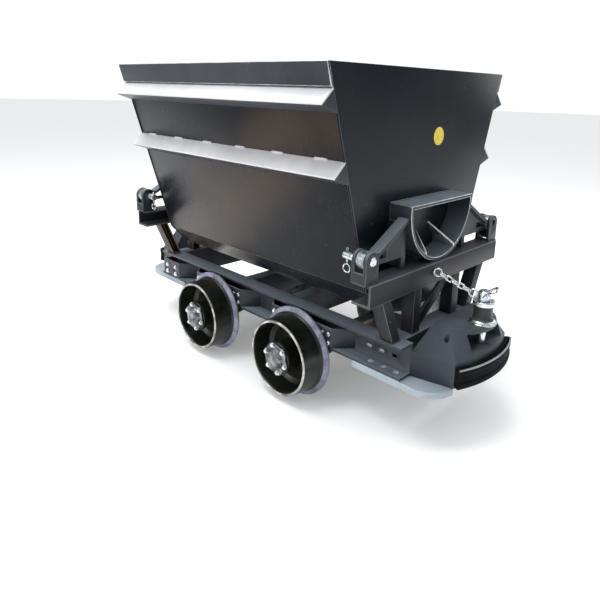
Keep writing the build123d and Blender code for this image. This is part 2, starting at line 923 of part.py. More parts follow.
def hat_bolt(x, z, side):
    """Hexagon bolt through a hat plate."""
    face = bar_flange_edge + hat_proud
    low, high = sorted((side * (face - hat_plate - 8), side * face))
    shank = rod_y(x, z, bolt_radius, low, high)
    low, high = sorted((side * face, side * (face + bolt_head)))
    head = extrude(
        Plane.XZ.offset(-low) * Pos(x, z) * RegularPolygon(bolt_head_radius, 6),
        high - low,
        dir=(0, 1, 0),
    )
    return shank + head


def drilled(plate, places, side):
    """A hat plate with its bolt holes."""
    low, high = sorted((side * (bar_flange_edge + hat_proud), side * (bar_flange_edge - hat_plate)))
    for x, z in places:
        plate -= rod_y(x, z, bolt_radius, low, high)
    return plate


corner_names = {
    "near_left": (half_base, -1),
    "near_right": (half_base, 1),
    "far_left": (-half_base, -1),
    "far_right": (-half_base, 1),
}
hats = []
hat_bolts = []
pedestals = []
axle_nuts = []
for name, (wheel_x, side) in corner_names.items():
    save(f"wheel_{name}", wheel(wheel_x, side))
    save(f"bearings_{name}", *bearings(wheel_x, side))
    save(f"hub_cover_{name}", *hub_cover(wheel_x, side))
    axle_nuts.append(axle_nut(wheel_x, side))
    pedestals.append(pedestal(wheel_x, side))
    offsets = (-bolt_far, -bolt_near, bolt_near, bolt_far)
    places = [(wheel_x + offset, z) for offset in offsets for z in bolt_rows]
    hat = hat_piece(wheel_x - hat_half_length, wheel_x + hat_half_length, hat_foot, hat_foot, side)
    hats.append(drilled(hat, places, side))
    hat_bolts += [hat_bolt(x, z, side) for x, z in places]

end_bolt_x = (-end_hat_outer + end_hat_bolt_inset, -end_hat_inner - end_hat_bolt_inset)
end_places = [(x, z) for x in end_bolt_x for z in bolt_rows]
end_hat = hat_piece(-end_hat_outer, -end_hat_inner, 0, hat_foot, -1)
end_hat = drilled(end_hat, end_places, -1)
end_bolts = [hat_bolt(x, z, -1) for x, z in end_places]
save("axle_near", axle(half_base))
save("axle_far", axle(-half_base))
save("axle_nuts", *axle_nuts)
save("axle_pedestals", *pedestals)
save("hat_plates", *hats, end_hat, other_end(end_hat))
save("hat_bolts", *hat_bolts, *end_bolts, *map(other_end, end_bolts))

# ---- drawheads and couplings --------------------------------------------------------------
front_sagitta = head_front - head_corner
front_radius = (head_half_front**2 + front_sagitta**2) / (2 * front_sagitta)
front_centre = head_front - front_radius


def drawhead():
    """Cast drawhead with its hood, coupling mouth and coupling pin socket, at the +X end."""
    low_edges = [
        Line((bar_half_length, -head_half_back), (head_corner, -head_half_front)),
        ThreePointArc((head_corner, -head_half_front), (head_front, 0), (head_corner, head_half_front)),
        Line((head_corner, head_half_front), (bar_half_length, head_half_back)),
        Line((bar_half_length, head_half_back), (bar_half_length, -head_half_back)),
    ]
    low_face = make_face(low_edges)
    base = extrude(Pos(0, 0, head_floor) * low_face, head_lip - head_floor, dir=(0, 0, 1))
    high_edges = [
        Line((roof_back, -roof_half), (roof_corner, -roof_half)),
        ThreePointArc((roof_corner, -roof_half), (roof_front, 0), (roof_corner, roof_half)),
        Line((roof_corner, roof_half), (roof_back, roof_half)),
        Line((roof_back, roof_half), (roof_back, -roof_half)),
    ]
    high_face = make_face(high_edges)
    hood = loft([Pos(0, 0, head_lip) * low_face, Pos(0, 0, roof_top) * high_face], ruled=True)
    head = base + hood
    mouth_top = roof_top - roof_thickness
    head -= block(mouth_back, head_front + 5, -mouth_half, mouth_half, mouth_floor, mouth_top)
    for low, high in ((-mouth_half - 60, -core_wall / 2), (core_wall / 2, mouth_half + 60)):
        core_floor = head_floor + core_wall
        head -= block(bar_half_length, core_front, low, high, core_floor, mouth_floor - core_wall)
    head -= rod_z(coupler_x, 0, coupler_radius + body_gap, coupler_socket_floor, roof_top)
    for side in (-1, 1):
        hole_x, hole_y = head_hole
        head -= rod_z(hole_x, side * hole_y, head_hole_radius, head_floor, roof_top)
    return head


def buffer_pad():
    """Curved buffer block across the drawhead's front face."""
    outer_radius = front_radius + buffer_thickness
    ring = rod_z(front_centre, 0, outer_radius, buffer_bottom, buffer_top)
    ring -= rod_z(front_centre, 0, front_radius, buffer_bottom, buffer_top)
    window = block(
        front_centre,
        front_centre + outer_radius + 1,
        -buffer_half,
        buffer_half,
        buffer_bottom,
        buffer_top,
    )
    return ring & window


collar_top = roof_top + collar_base + collar_neck + collar_lip


def pin_collar():
    """Flanged collar on the drawhead roof that guides the coupling pin."""
    neck_foot = roof_top + collar_base
    collar = rod_z(coupler_x, 0, collar_base_radius, roof_top, neck_foot)
    collar += rod_z(coupler_x, 0, collar_neck_radius, neck_foot, neck_foot + collar_neck)
    collar += rod_z(coupler_x, 0, collar_lip_radius, neck_foot + collar_neck, collar_top)
    return collar - rod_z(coupler_x, 0, coupler_radius + body_gap, roof_top, collar_top)


head_foot = collar_top + body_gap
head_peak = head_foot + head_height
bail_pivot = head_foot + head_height / 2
anchor_eye_x = beam_front + eye_radius + eye_wire - 1
eye_height = head_foot + eye_radius + eye_wire + body_gap
eye_reach = head_radius + eye_radius + eye_wire - 1
chain_turn = math.degrees(math.atan2(-anchor_y, coupler_x - anchor_eye_x))
head_place = Pos(coupler_x, 0, 0) * Rot(0, 0, chain_turn)


def coupling_pin():
    """Coupling pin with a round head, a cross bore for its handle and an eye for the chain."""
    shank = rod_z(0, 0, coupler_radius, coupler_foot, head_foot)
    head = rod_z(0, 0, head_radius, head_foot, head_peak)
    bore = rod_y(0, bail_pivot, bail_stub_radius + pin_clearance, -head_radius, head_radius)
    eye = Pos(-eye_reach, 0, eye_height) * Rot(90, 0, 0) * Torus(eye_radius, eye_wire)
    eye -= rod_z(0, 0, head_radius - 1, head_foot, head_peak)
    return head_place * (shank + head + eye - bore)


def bail():
    """Bent wire handle that swings about the coupling pin's cross bore."""
    handle = rod_y(0, 0, bail_stub_radius, -bail_half_width, bail_half_width)
    for side in (-1, 1):
        handle += rod_z(0, side * bail_half_width, bail_wire, -bail_wire, bail_height)
    handle += rod_y(0, bail_height, bail_wire, -bail_half_width - bail_wire, bail_half_width + bail_wire)
    return head_place * Pos(0, 0, bail_pivot) * Rot(0, bail_lean, 0) * handle


def chain_anchor():
    """Welded eye on the stand beam that holds the retaining chain, at the +X end."""
    place = Pos(anchor_eye_x, anchor_y, anchor_z) * Rot(0, 0, chain_turn) * Rot(90, 0, 0)
    eye = place * Torus(eye_radius, eye_wire)
    behind = block(beam_back, beam_front, anchor_y - 20, anchor_y + 20, anchor_z - 20, anchor_z + 20)
    return eye - behind


def chain_link(pitch):
    """Oval chain link along X, lying flat, centred on the origin."""
    length = pitch + 2 * chain_wire + link_play
    straight = length - 2 * link_bend
    bend = Torus(link_bend, chain_wire)
    reach = 2 * link_bend + straight
    right = bend & block(0, reach, -reach, reach, -reach, reach)
    left = bend & block(-reach, 0, -reach, reach, -reach, reach)
    whole = Pos(straight / 2, 0, 0) * right + Pos(-straight / 2, 0, 0) * left
    for side in (-1, 1):
        whole += rod_x(side * link_bend, 0, chain_wire, -straight / 2, straight / 2)
    return whole


def chain():
    """Retaining chain from the anchor eye down to the coupling pin's eye, at the +X end."""
    start = Vector(anchor_eye_x, anchor_y, anchor_z)
    turn = math.radians(chain_turn)
    end = Vector(coupler_x - eye_reach * math.cos(turn), -eye_reach * math.sin(turn), eye_height)
    along = (end - start).normalized()
    first = eye_radius - eye_wire
    span = (end - start).length - 2 * first - last_link_slack
    pitch = span / link_count
    sideways = Vector(0, 0, 1).cross(along).normalized()
    links = []
    reach = first
    for index in range(link_count):
        last = index == link_count - 1
        size = pitch + (last_link_slack if last else 0)
        middle = start + along * (reach + size / 2)
        up = along.cross(sideways)
        normal = up if index % 2 == 0 else sideways
        links.append(Plane(origin=middle, x_dir=along, z_dir=normal) * chain_link(size))
        reach += size
    return links


near_head = drawhead()
save("drawhead_near", near_head)
save("drawhead_far", other_end(near_head))
save("buffer_pad_near", buffer_pad())
save("buffer_pad_far", other_end(buffer_pad()))
save("pin_collars", pin_collar(), other_end(pin_collar()))
save("coupling_pin_near", coupling_pin())
save("coupling_pin_far", other_end(coupling_pin()))
save("bail_near", bail())
save("bail_far", other_end(bail()))
save("chain_anchors", chain_anchor(), other_end(chain_anchor()))
near_chain = chain()
save("chain_near", *near_chain)
save("chain_far", *map(other_end, near_chain))
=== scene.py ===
import json
import math

import bmesh
import bpy
from mathutils import Matrix, Vector


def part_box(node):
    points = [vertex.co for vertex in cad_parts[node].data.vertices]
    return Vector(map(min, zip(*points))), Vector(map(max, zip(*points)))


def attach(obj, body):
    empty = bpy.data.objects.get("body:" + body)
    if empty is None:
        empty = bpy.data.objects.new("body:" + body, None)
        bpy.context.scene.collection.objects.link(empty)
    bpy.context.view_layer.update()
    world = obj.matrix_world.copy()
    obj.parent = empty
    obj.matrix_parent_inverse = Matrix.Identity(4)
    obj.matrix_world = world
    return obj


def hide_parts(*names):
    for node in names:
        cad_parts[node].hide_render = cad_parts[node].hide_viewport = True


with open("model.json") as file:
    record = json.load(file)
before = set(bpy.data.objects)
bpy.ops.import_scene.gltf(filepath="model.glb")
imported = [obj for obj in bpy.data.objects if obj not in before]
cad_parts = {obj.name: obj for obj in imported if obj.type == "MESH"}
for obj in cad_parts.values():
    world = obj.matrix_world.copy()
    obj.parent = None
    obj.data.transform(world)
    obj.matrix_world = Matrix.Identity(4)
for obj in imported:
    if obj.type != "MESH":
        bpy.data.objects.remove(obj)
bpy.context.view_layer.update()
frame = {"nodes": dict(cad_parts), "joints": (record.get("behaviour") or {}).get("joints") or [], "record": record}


# ---- Camera -------------------------------------------------------------------------------
# The eye stands off the near left corner of the cart, just under the height of its rim, and
# looks down a little, with the cart high in the frame.
eye = Vector((1.6856, -1.7041, 1.1860))
turn, tilt, roll = (math.radians(angle) for angle in (44.217, 12.957, 1.633))
sensor_width = 36.0
focal_ratio = 0.91547
back = Vector((math.sin(turn) * math.cos(tilt), -math.cos(turn) * math.cos(tilt), math.sin(tilt)))
level = Vector((math.cos(turn), math.sin(turn), 0))
rise = back.cross(level)
right = level * math.cos(roll) + rise * math.sin(roll)
upward = rise * math.cos(roll) - level * math.sin(roll)
camera_data = bpy.data.cameras.new("camera")
camera_data.sensor_width = sensor_width
camera_data.lens = sensor_width * focal_ratio
camera_data.shift_x = -0.0133
camera_data.shift_y = -0.1417
camera = bpy.data.objects.new("camera", camera_data)
camera.matrix_world = Matrix((right, upward, back)).transposed().to_4x4()
camera.location = eye
bpy.context.collection.objects.link(camera)
bpy.context.scene.camera = camera
bpy.context.scene.view_settings.view_transform = "Standard"


# ---- Studio: air and light ----------------------------------------------------------------
# A white room whose walls are darker than its ceiling, and three wide soft boxes: one overhead
# and one to each long side of the cart.  The air seen behind the cart is whiter than the walls
# that light it.
class Signal:
    """One shader socket, which takes part in sums and products as a number would."""

    def __init__(self, tree, socket):
        self.tree = tree
        self.socket = socket

    def node(self, kind, settings, inputs, output=0):
        """Add a node: its settings first, then the values or links of its sockets."""
        made = self.tree.nodes.new(kind)
        for name, value in settings.items():
            setattr(made, name, value)
        for name, value in inputs.items():
            if isinstance(value, Signal):
                self.tree.links.new(value.socket, made.inputs[name])
            else:
                made.inputs[name].default_value = value
        return Signal(self.tree, made.outputs[output])

    def math(self, operation, *values):
        """Result of one operation on numbers."""
        return self.node("ShaderNodeMath", {"operation": operation}, dict(enumerate(values)))

    def __add__(self, other):
        return self.math("ADD", self, other)

    def __radd__(self, other):
        return self.math("ADD", other, self)

    def __sub__(self, other):
        return self.math("SUBTRACT", self, other)

    def __rsub__(self, other):
        return self.math("SUBTRACT", other, self)

    def __mul__(self, other):
        return self.math("MULTIPLY", self, other)

    def __rmul__(self, other):
        return self.math("MULTIPLY", other, self)

    def step(self, low, high):
        """Smooth rise from 0 at low to 1 at high."""
        ends = {"Value": self, "From Min": low, "From Max": high}
        return self.node("ShaderNodeMapRange", {"interpolation_type": "SMOOTHSTEP"}, ends)

    def blend(self, first, second):
        """Colour that goes from first to second as this signal goes from 0 to 1."""
        colours = [c if isinstance(c, Signal) else (*c, 1) for c in (first, second)]
        inputs = {0: self, 6: colours[0], 7: colours[1]}
        return self.node("ShaderNodeMix", {"data_type": "RGBA"}, inputs, 2)

    def part(self, axis):
        """One coordinate of this vector: 0 for x, 1 for y, 2 for z."""
        return self.node("ShaderNodeSeparateXYZ", {}, {"Vector": self}, axis)

    def bump(self, strength=1.0):
        """Normal of a surface with this height in metres."""
        inputs = {"Height": self, "Distance": 1.0, "Strength": strength}
        return self.node("ShaderNodeBump", {}, inputs)


room = bpy.data.worlds.new("studio")
bpy.context.scene.world = room
room.use_nodes = True
air = room.node_tree.nodes["Background"]
sky = room.node_tree.nodes.new("ShaderNodeTexCoord")
heading = Signal(room.node_tree, sky.outputs["Generated"])
wall_glow, ceiling_glow, open_glow, seen_glow = 0.16, 0.62, 0.2, 1.06
ceiling = heading.part(2).step(-0.05, 0.9)
open_side = (0 - heading.part(1) - 0.35 * heading.part(0)).step(-0.5, 0.9)
walls = wall_glow + ceiling_glow * ceiling + open_glow * open_side
seen = heading.node("ShaderNodeLightPath", {}, {}, "Is Camera Ray")
strength = seen * seen_glow + (1 - seen) * walls
room.node_tree.links.new(strength.socket, air.inputs["Strength"])
air.inputs["Color"].default_value = (0.97, 0.985, 1.0, 1)


def soft_box(name, place, aim, size, power, colour=(1, 1, 1)):
    """Square area light that points at a spot."""
    lamp = bpy.data.lights.new(name, "AREA")
    lamp.size = size
    lamp.energy = power
    lamp.color = colour
    holder = bpy.data.objects.new(name, lamp)
    holder.location = place
    holder.rotation_euler = (Vector(aim) - Vector(place)).to_track_quat("-Z", "Y").to_euler()
    bpy.context.collection.objects.link(holder)


soft_box("overhead", (-0.6, -0.8, 4.6), (0, 0, 0.4), size=3.2, power=230)
soft_box("left_side", (-1.6, -4.4, 2.3), (0, 0, 0.5), size=2.2, power=60)
soft_box("far_right", (1.2, 4.2, 2.6), (0, 0, 0.6), size=2.0, power=40)


# ---- Studio: floor ------------------------------------------------------------------------
# One sheet of matt white board that the wheels stand on, glowing faintly: painted light that lifts the shadows on
# it.  From a step or two off the cart's left side it turns grey, which darkens what the enamel of the tub's left
# side mirrors.
def new_finish(name, **constants):
    """A material, its surface node and the place on the piece that its patterns read."""
    made = bpy.data.materials.new(name)
    made.use_nodes = True
    tree = made.node_tree
    surface = tree.nodes["Principled BSDF"]
    for socket, value in constants.items():
        surface.inputs[socket.replace("_", " ")].default_value = value
    return made, surface, Signal(tree, tree.nodes.new("ShaderNodeTexCoord").outputs["Object"])


def connect(surface, **signals):
    """Lead each signal to the surface socket of that name."""
    for name, signal in signals.items():
        signal.tree.links.new(signal.socket, surface.inputs[name.replace("_", " ")])


def noise(place, scale, detail=2.0, stretch=None):
    """Cloudy pattern from 0 to 1, with scale clouds to the metre."""
    if stretch:
        place = place.node("ShaderNodeMapping", {}, {"Vector": place, "Scale": stretch})
    inputs = {"Vector": place, "Scale": scale, "Detail": detail}
    return place.node("ShaderNodeTexNoise", {}, inputs)


def shaped(name, work, *finishes):
    """Turn worked faces into a piece with its finishes."""
    mesh = bpy.data.meshes.new(name)
    work.to_mesh(mesh)
    work.free()
    for finish in finishes:
        mesh.materials.append(finish)
    piece = bpy.data.objects.new(name, mesh)
    bpy.context.collection.objects.link(piece)
    return piece


# The board's faint glow is painted light that lifts the shadow under the cart.
board, board_surface, board_place = new_finish(
    "matt_board", Roughness=0.95, Specular_IOR_Level=0.1, Emission_Strength=0.22
)
far_grey = (0.42, 0.41, 0.4)
far_off = (0 - board_place.part(1) - 0.25 * board_place.part(0)).step(1.35, 3.2)
board_white = noise(board_place, 1.5, 4).blend((0.86, 0.865, 0.87), (0.9, 0.9, 0.9))
board_painted_glow = far_off.blend((1, 1, 1), far_grey)
connect(board_surface, Base_Color=far_off.blend(board_white, far_grey), Emission_Color=board_painted_glow)
floor_work = bmesh.new()
bmesh.ops.create_circle(floor_work, cap_ends=True, radius=40, segments=64)
shaped("floor", floor_work, board)


# ---- Tub sheets ---------------------------------------------------------------------------
# Rolled steel sheet, folded and welded into a hopper, then sprayed with blue-black enamel that shows the waves of
# the sheet and a soft orange peel.  Upward faces carry a lighter film, partly settled dust and partly painted
# light from the sky, and a slanting brown band across the sides is a painted reflection.
def enamel(name, dark, light, gloss=0.3, dust_and_top_light=0.3, wave=0.0009, chips=0.65, brown_reflection=0.0, shine=0.3):
    """Sprayed enamel on steel: cloudy colour, waves, orange peel, a lighter film on top that is partly dust and
    partly painted light, and small chips.

    Where asked for, a slanting brown band crosses the sheet: a painted reflection of brown ground.
    """
    finish, surface, place = new_finish(name, Specular_IOR_Level=shine)
    cloud = noise(place, 2.4, 5)
    streak = noise(place, 1.0, 3, (14, 14, 2.2))
    speck = noise(place, 160, 2).step(0.62, 0.7) * noise(place, 7, 2).step(0.5, 0.62)
    rubbed = noise(place, 5, 2).step(0.52, 0.6)
    chip = noise(place, 90, 3).step(chips + 0.06, chips + 0.08) * rubbed
    up = place.node("ShaderNodeNewGeometry", {}, {}, "Normal").part(2)
    # Lighter film on upward faces: partly settled dust, partly painted light from the sky above.
    dust_and_light_film = up.step(0.05, 0.95) * (0.35 + 0.65 * noise(place, 9, 4)) * dust_and_top_light
    colour = (cloud * 0.7 + streak * 0.3).step(0.3, 0.7).blend(dark, light)
    # Painted reflection: a slanting brown band mixed into the colour.
    if brown_reflection:
        slant = place.part(0) + 1.11 - 1.42 * place.part(2) + 0.7 * (noise(place, 2.2, 3) - 0.5)
        reflection_band = 1 - slant.math("ABSOLUTE", slant).step(0.02, 0.42)
        painted_reflection = reflection_band * (0.6 + 0.4 * noise(place, 6, 5)) * brown_reflection
        colour = painted_reflection.blend(colour, (0.078, 0.058, 0.043))
    colour = dust_and_light_film.blend(colour, (0.17, 0.2, 0.23))
    colour = (speck * 0.14).blend(colour, (0.2, 0.2, 0.2))
    colour = chip.blend(colour, (0.16, 0.12, 0.09))
    peel = noise(place, 420, 1) * 0.00003
    height = noise(place, 3.2, 1) * wave + peel - chip * 0.0001
    rough = gloss + 0.1 * (cloud - 0.5) + 0.3 * dust_and_light_film + 0.25 * chip + 0.06 * streak
    connect(surface, Base_Color=colour, Roughness=rough, Normal=height.bump())
    return finish


def bare_steel(name, dark, light, rough=0.28, grain=60.0, metal=1.0):
    """Bare or zinc plated steel: mottled brightness, fine grain and darker spots."""
    finish, surface, place = new_finish(name, Metallic=metal)
    cloud = noise(place, grain, 4)
    spot = noise(place, grain * 3, 2).step(0.6, 0.72)
    darkest = tuple(c * 0.35 for c in dark)
    colour = (0.6 * spot).blend(cloud.step(0.3, 0.7).blend(dark, light), darkest)
    height = cloud * 0.0004 + spot * 0.0001
    rough = rough + 0.25 * cloud - 0.1
    connect(surface, Base_Color=colour, Roughness=rough, Normal=height.bump(0.8))
    return finish


bodies = frame["record"]["behaviour"]["bodies"]
body_of = {node: body for body, nodes in bodies.items() for node in nodes}
joint_of = {joint["name"]: joint for joint in frame["joints"]}


def settled(piece):
    """Replace a piece that has modifiers, or a curve, by the plain mesh that it shows."""
    graph = bpy.context.evaluated_depsgraph_get()
    mesh = bpy.data.meshes.new_from_object(piece.evaluated_get(graph), depsgraph=graph)
    name = piece.name
    bpy.data.objects.remove(piece)
    mesh.name = name
    piece = bpy.data.objects.new(name, mesh)
    bpy.context.collection.objects.link(piece)
    return piece


def stand_for(piece, node):
    """Let a finished piece stand for a node of the frame, on the same body."""
    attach(piece, body_of[node])
    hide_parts(node)


def soften(piece, radius, fold=35, steps=2):
    """Break a piece's corners to a small radius, with the second finish on the radius."""
    bevel = piece.modifiers.new("broken_corners", "BEVEL")
    bevel.width = radius
    bevel.segments = steps
    bevel.limit_method = "ANGLE"
    bevel.angle_limit = math.radians(fold)
    bevel.material = 1
    bevel.harden_normals = True
    return settled(piece)


def eased(node, radius, finish, edge_finish, fold=35, steps=2, bare=None, bare_finish=None):
    """Rebuild a node as one clean shell with broken corners; bare tells which faces are bare."""
    work = bmesh.new()
    work.from_mesh(frame["nodes"][node].data)
    bmesh.ops.remove_doubles(work, verts=work.verts, dist=2e-5)
    flat = math.radians(0.6)
    bmesh.ops.dissolve_limit(work, angle_limit=flat, verts=work.verts, edges=work.edges)
    piece = shaped(node + "_made", work, finish, edge_finish, bare_finish or finish)
    piece.data.shade_smooth()
    for polygon in piece.data.polygons:
        polygon.material_index = 2 if bare and bare(polygon.center) else 0
    stand_for(soften(piece, radius, fold, steps), node)


# The tub's sheets carry the painted brown reflection band.
tub_enamel = enamel(
    "tub_enamel",
    (0.006, 0.0075, 0.011),
    (0.014, 0.0155, 0.02),
    gloss=0.24,
    dust_and_top_light=0.25,
    brown_reflection=0.8,
    shine=0.16,
)
end_enamel = enamel(
    "end_enamel", (0.006, 0.0105, 0.015), (0.011, 0.0165, 0.022), gloss=0.28, dust_and_top_light=0.25, shine=0.24
)
# Lighter enamel on broken corners: partly worn paint, partly a painted highlight along the edges.
worn_edge = enamel("worn_edge", (0.05, 0.055, 0.06), (0.14, 0.145, 0.15), gloss=0.34, dust_and_top_light=0.5)
sheet_corner = 0.0013
for node in ("side_sheet_left", "side_sheet_right", "lower_panels", "belly_plate"):
    eased(node, sheet_corner, tub_enamel, worn_edge)
for node in ("end_plate_near", "end_plate_far"):
    eased(node, sheet_corner, end_enamel, worn_edge)


# ---- Tub seams ----------------------------------------------------------------------------
# Weld beads where the sheets meet, laid by hand in overlapping pools and painted over with the
# tub, along the four upright corners and the ends of the lower panels.
def add_node(tree, kind, settings, inputs):
    """Add a geometry node: its settings, then the values, sockets or nodes that it reads."""
    made = tree.nodes.new(kind)
    for name, value in settings.items():
        setattr(made, name, value)
    for name, value in inputs.items():
        if isinstance(value, bpy.types.Node):
            value = value.outputs[0]
        if isinstance(value, bpy.types.NodeSocket):
            tree.links.new(value, made.inputs[name])
        else:
            made.inputs[name].default_value = value
    return made


def scaled(tree, value, factor):
    """Product of a socket and a number."""
    return add_node(tree, "ShaderNodeMath", {"operation": "MULTIPLY"}, {0: value, 1: factor})


def new_tree(name, sockets):
    """Geometry tree with named inputs; returns it with what its input node gives."""
    tree = bpy.data.node_groups.new(name, "GeometryNodeTree")
    tree.interface.new_socket("Geometry", in_out="INPUT", socket_type="NodeSocketGeometry")
    tree.interface.new_socket("Geometry", in_out="OUTPUT", socket_type="NodeSocketGeometry")
    for socket, kind in sockets.items():
        tree.interface.new_socket(socket, in_out="INPUT", socket_type="NodeSocket" + kind)
    return tree, tree.nodes.new("NodeGroupInput").outputs


def close_tree(tree, geometry, finish, smooth=True):
    """End a tree: real geometry, shading and its material."""
    real = add_node(tree, "GeometryNodeRealizeInstances", {}, {"Geometry": geometry})
    shade = add_node(tree, "GeometryNodeSetShadeSmooth", {}, {0: real, "Shade Smooth": smooth})
    coat = add_node(tree, "GeometryNodeSetMaterial", {}, {0: shade, "Material": finish})
    add_node(tree, "NodeGroupOutput", {}, {0: coat})


def grown(piece, tree, **values):
    """Run a geometry tree on a piece and keep the result as a plain mesh."""
    modifier = piece.modifiers.new(tree.name, "NODES")
    modifier.node_group = tree
    for item in tree.interface.items_tree:
        value = values.get(item.name.replace(" ", "_"))
        if item.in_out == "INPUT" and value is not None:
            modifier[item.identifier] = value
    return settled(piece)


bead_inputs = {"Bead Radius": "Float", "Pool": "Float", "Finish": "Material"}
bead_tree, given = new_tree("weld_bead", bead_inputs)
seam = add_node(bead_tree, "GeometryNodeMeshToCurve", {}, {"Mesh": given["Geometry"]})
pool_share = 0.34
pace = {"Curve": seam, "Length": scaled(bead_tree, given["Pool"], pool_share)}
paced = add_node(bead_tree, "GeometryNodeResampleCurve", {"mode": "LENGTH"}, pace)
run = add_node(bead_tree, "GeometryNodeSplineParameter", {}, {}).outputs["Length"]
count = add_node(bead_tree, "ShaderNodeMath", {"operation": "DIVIDE"}, {0: run, 1: given["Pool"]})
pool = add_node(bead_tree, "ShaderNodeMath", {"operation": "FRACT"}, {0: count})
thinnest, growth = 0.75, 0.4
saw = {0: pool, 1: growth, 2: thinnest}
swell = add_node(bead_tree, "ShaderNodeMath", {"operation": "MULTIPLY_ADD"}, saw)
bead_round = {"Resolution": 6, "Radius": given["Bead Radius"]}
section = add_node(bead_tree, "GeometryNodeCurvePrimitiveCircle", {}, bead_round)
shape = {"Curve": paced, "Profile Curve": section, "Scale": swell, "Fill Caps": True}
bead = add_node(bead_tree, "GeometryNodeCurveToMesh", {}, shape)
close_tree(bead_tree, bead, given["Finish"])


def lay_beads(name, lines, body, finish, radius=0.0032, pool_length=0.008):
    """Weld beads along lines of points, all on one body."""
    work = bmesh.new()
    for line in lines:
        places = [work.verts.new(point) for point in line]
        for first, second in zip(places, places[1:]):
            work.edges.new((first, second))
    piece = shaped(name, work, finish)
    piece = grown(piece, bead_tree, Bead_Radius=radius, Pool=pool_length, Finish=finish)
    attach(piece, body)


def both_sides(lines):
    """Lines and their mirror images on the other long side."""
    return [[(x, side * y, z) for x, y, z in line] for line in lines for side in (1, -1)]


def both_ends(lines):
    """Lines and the same after half a turn about the upright."""
    return [[(sign * x, sign * y, z) for x, y, z in line] for line in lines for sign in (1, -1)]


plate_back, end_face = (corner.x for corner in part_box("end_plate_near"))
rim_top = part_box("side_sheet_left")[1].z
rim_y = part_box("side_sheet_left")[0].y
fold_y, fold_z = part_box("lower_panels")[0].y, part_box("lower_panels")[1].z
belly_y, belly_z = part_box("belly_plate")[0].y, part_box("belly_plate")[1].z
rim_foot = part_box("rim_bars")[0].z


def side_y(z):
    """Outer face of the left side sheet at a height."""
    return fold_y + (rim_y - fold_y) * (z - fold_z) / (rim_top - fold_z)


seam_line = [
    (plate_back, side_y(rim_foot), rim_foot),
    (plate_back, fold_y, fold_z),
    (plate_back, belly_y, belly_z),
]
seams = both_ends(both_sides([seam_line]))
lay_beads("tub_seams", seams, "tub", end_enamel, radius=0.0026)


# ---- Rim bars -----------------------------------------------------------------------------
# Flat bars welded along the top of both side sheets.  The joint at the top is ground bright
# where loading chutes and shovels rub on it.
def along_side(y, z, gap):
    """Line along the left side, ending a gap short of both end plates."""
    return [[(-end_face + gap, y, z), (end_face - gap, y, z)]]


rim_enamel = enamel(
    "rim_enamel", (0.03, 0.036, 0.045), (0.055, 0.064, 0.077), gloss=0.34, dust_and_top_light=0.4
)
rubbed_steel = bare_steel(
    "rubbed_steel", (0.42, 0.43, 0.45), (0.8, 0.82, 0.84), rough=0.35, grain=40
)
eased("rim_bars", 0.0022, rim_enamel, rubbed_steel)
top_bead = 0.003
rim_joint = both_sides(along_side(rim_y, rim_top - top_bead, 0.004))
lay_beads(
    "rim_joint",
    rim_joint,
    "tub",
    rubbed_steel,
    radius=top_bead * 0.9,
    pool_length=0.011,
)
rim_weld = both_sides(along_side(side_y(rim_foot) - 0.005, rim_foot, 0.01))
lay_beads("rim_foot_weld", rim_weld, "tub", rim_enamel, radius=0.003)


# ---- Stiffener rails ----------------------------------------------------------------------
# Folded angles along the side sheets.  Their sloping upper plates are coloured near white, a painted highlight of
# the sky that they face; the plates behind are dark.  Short stitch welds hold the upper edge to the sheet.
# Near white: a painted highlight of the sky on the rails' sloping plates and their stitches.
rail_white = enamel(
    "rail_white",
    (0.62, 0.63, 0.65),
    (0.8, 0.81, 0.83),
    gloss=0.32,
    dust_and_top_light=0.06,
    wave=0.0007,
    chips=0.66,
)
eased("rail_tops", 0.0014, rail_white, rail_white)
eased("rail_backs", 0.0014, rim_enamel, worn_edge)
rail_pitch = 0.221
rail_drop = 0.075
lower_edge_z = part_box("rail_tops")[1].z - rail_pitch
stitch_count = 6
stitch_length = 0.055
stitches = []
for index in range(stitch_count):
    middle = -end_face + (index + 0.5) * 2 * end_face / stitch_count
    ends = (middle - stitch_length / 2, middle + stitch_length / 2)
    stitches.append([(x, side_y(lower_edge_z) - 0.001, lower_edge_z) for x in ends])
stitches = both_sides(stitches)
lay_beads(
    "rail_stitches", stitches, "tub", rail_white, radius=0.0048, pool_length=0.009
)
rail_foot_z = lower_edge_z - rail_drop
rail_weld = both_sides(along_side(side_y(rail_foot_z), rail_foot_z, 0.01))
lay_beads("rail_foot_weld", rail_weld, "tub", tub_enamel, radius=0.003)


# ---- Marker disc --------------------------------------------------------------------------
# A plain round plate of thin yellow sheet with a rolled edge, glued on the near end of the tub
# and a little scuffed.
def rounded(points, bend, steps=4, closed=False):
    """Path with its corners turned into arcs of up to the given radius."""
    places = [Vector(point) for point in points]
    path = []
    for index, corner in enumerate(places):
        if not closed and index in (0, len(places) - 1):
            path.append(corner)
            continue
        before = places[index - 1] - corner
        after = places[(index + 1) % len(places)] - corner
        half_angle = before.angle(after) / 2
        reach = min(bend / math.tan(half_angle), 0.45 * min(before.length, after.length))
        first, last = corner + before.normalized() * reach, corner + after.normalized() * reach
        for number in range(steps + 1):
            share = number / steps
            mid = corner * 2 * share * (1 - share)
            path.append(first * (1 - share) ** 2 + mid + last * share**2)
    return path


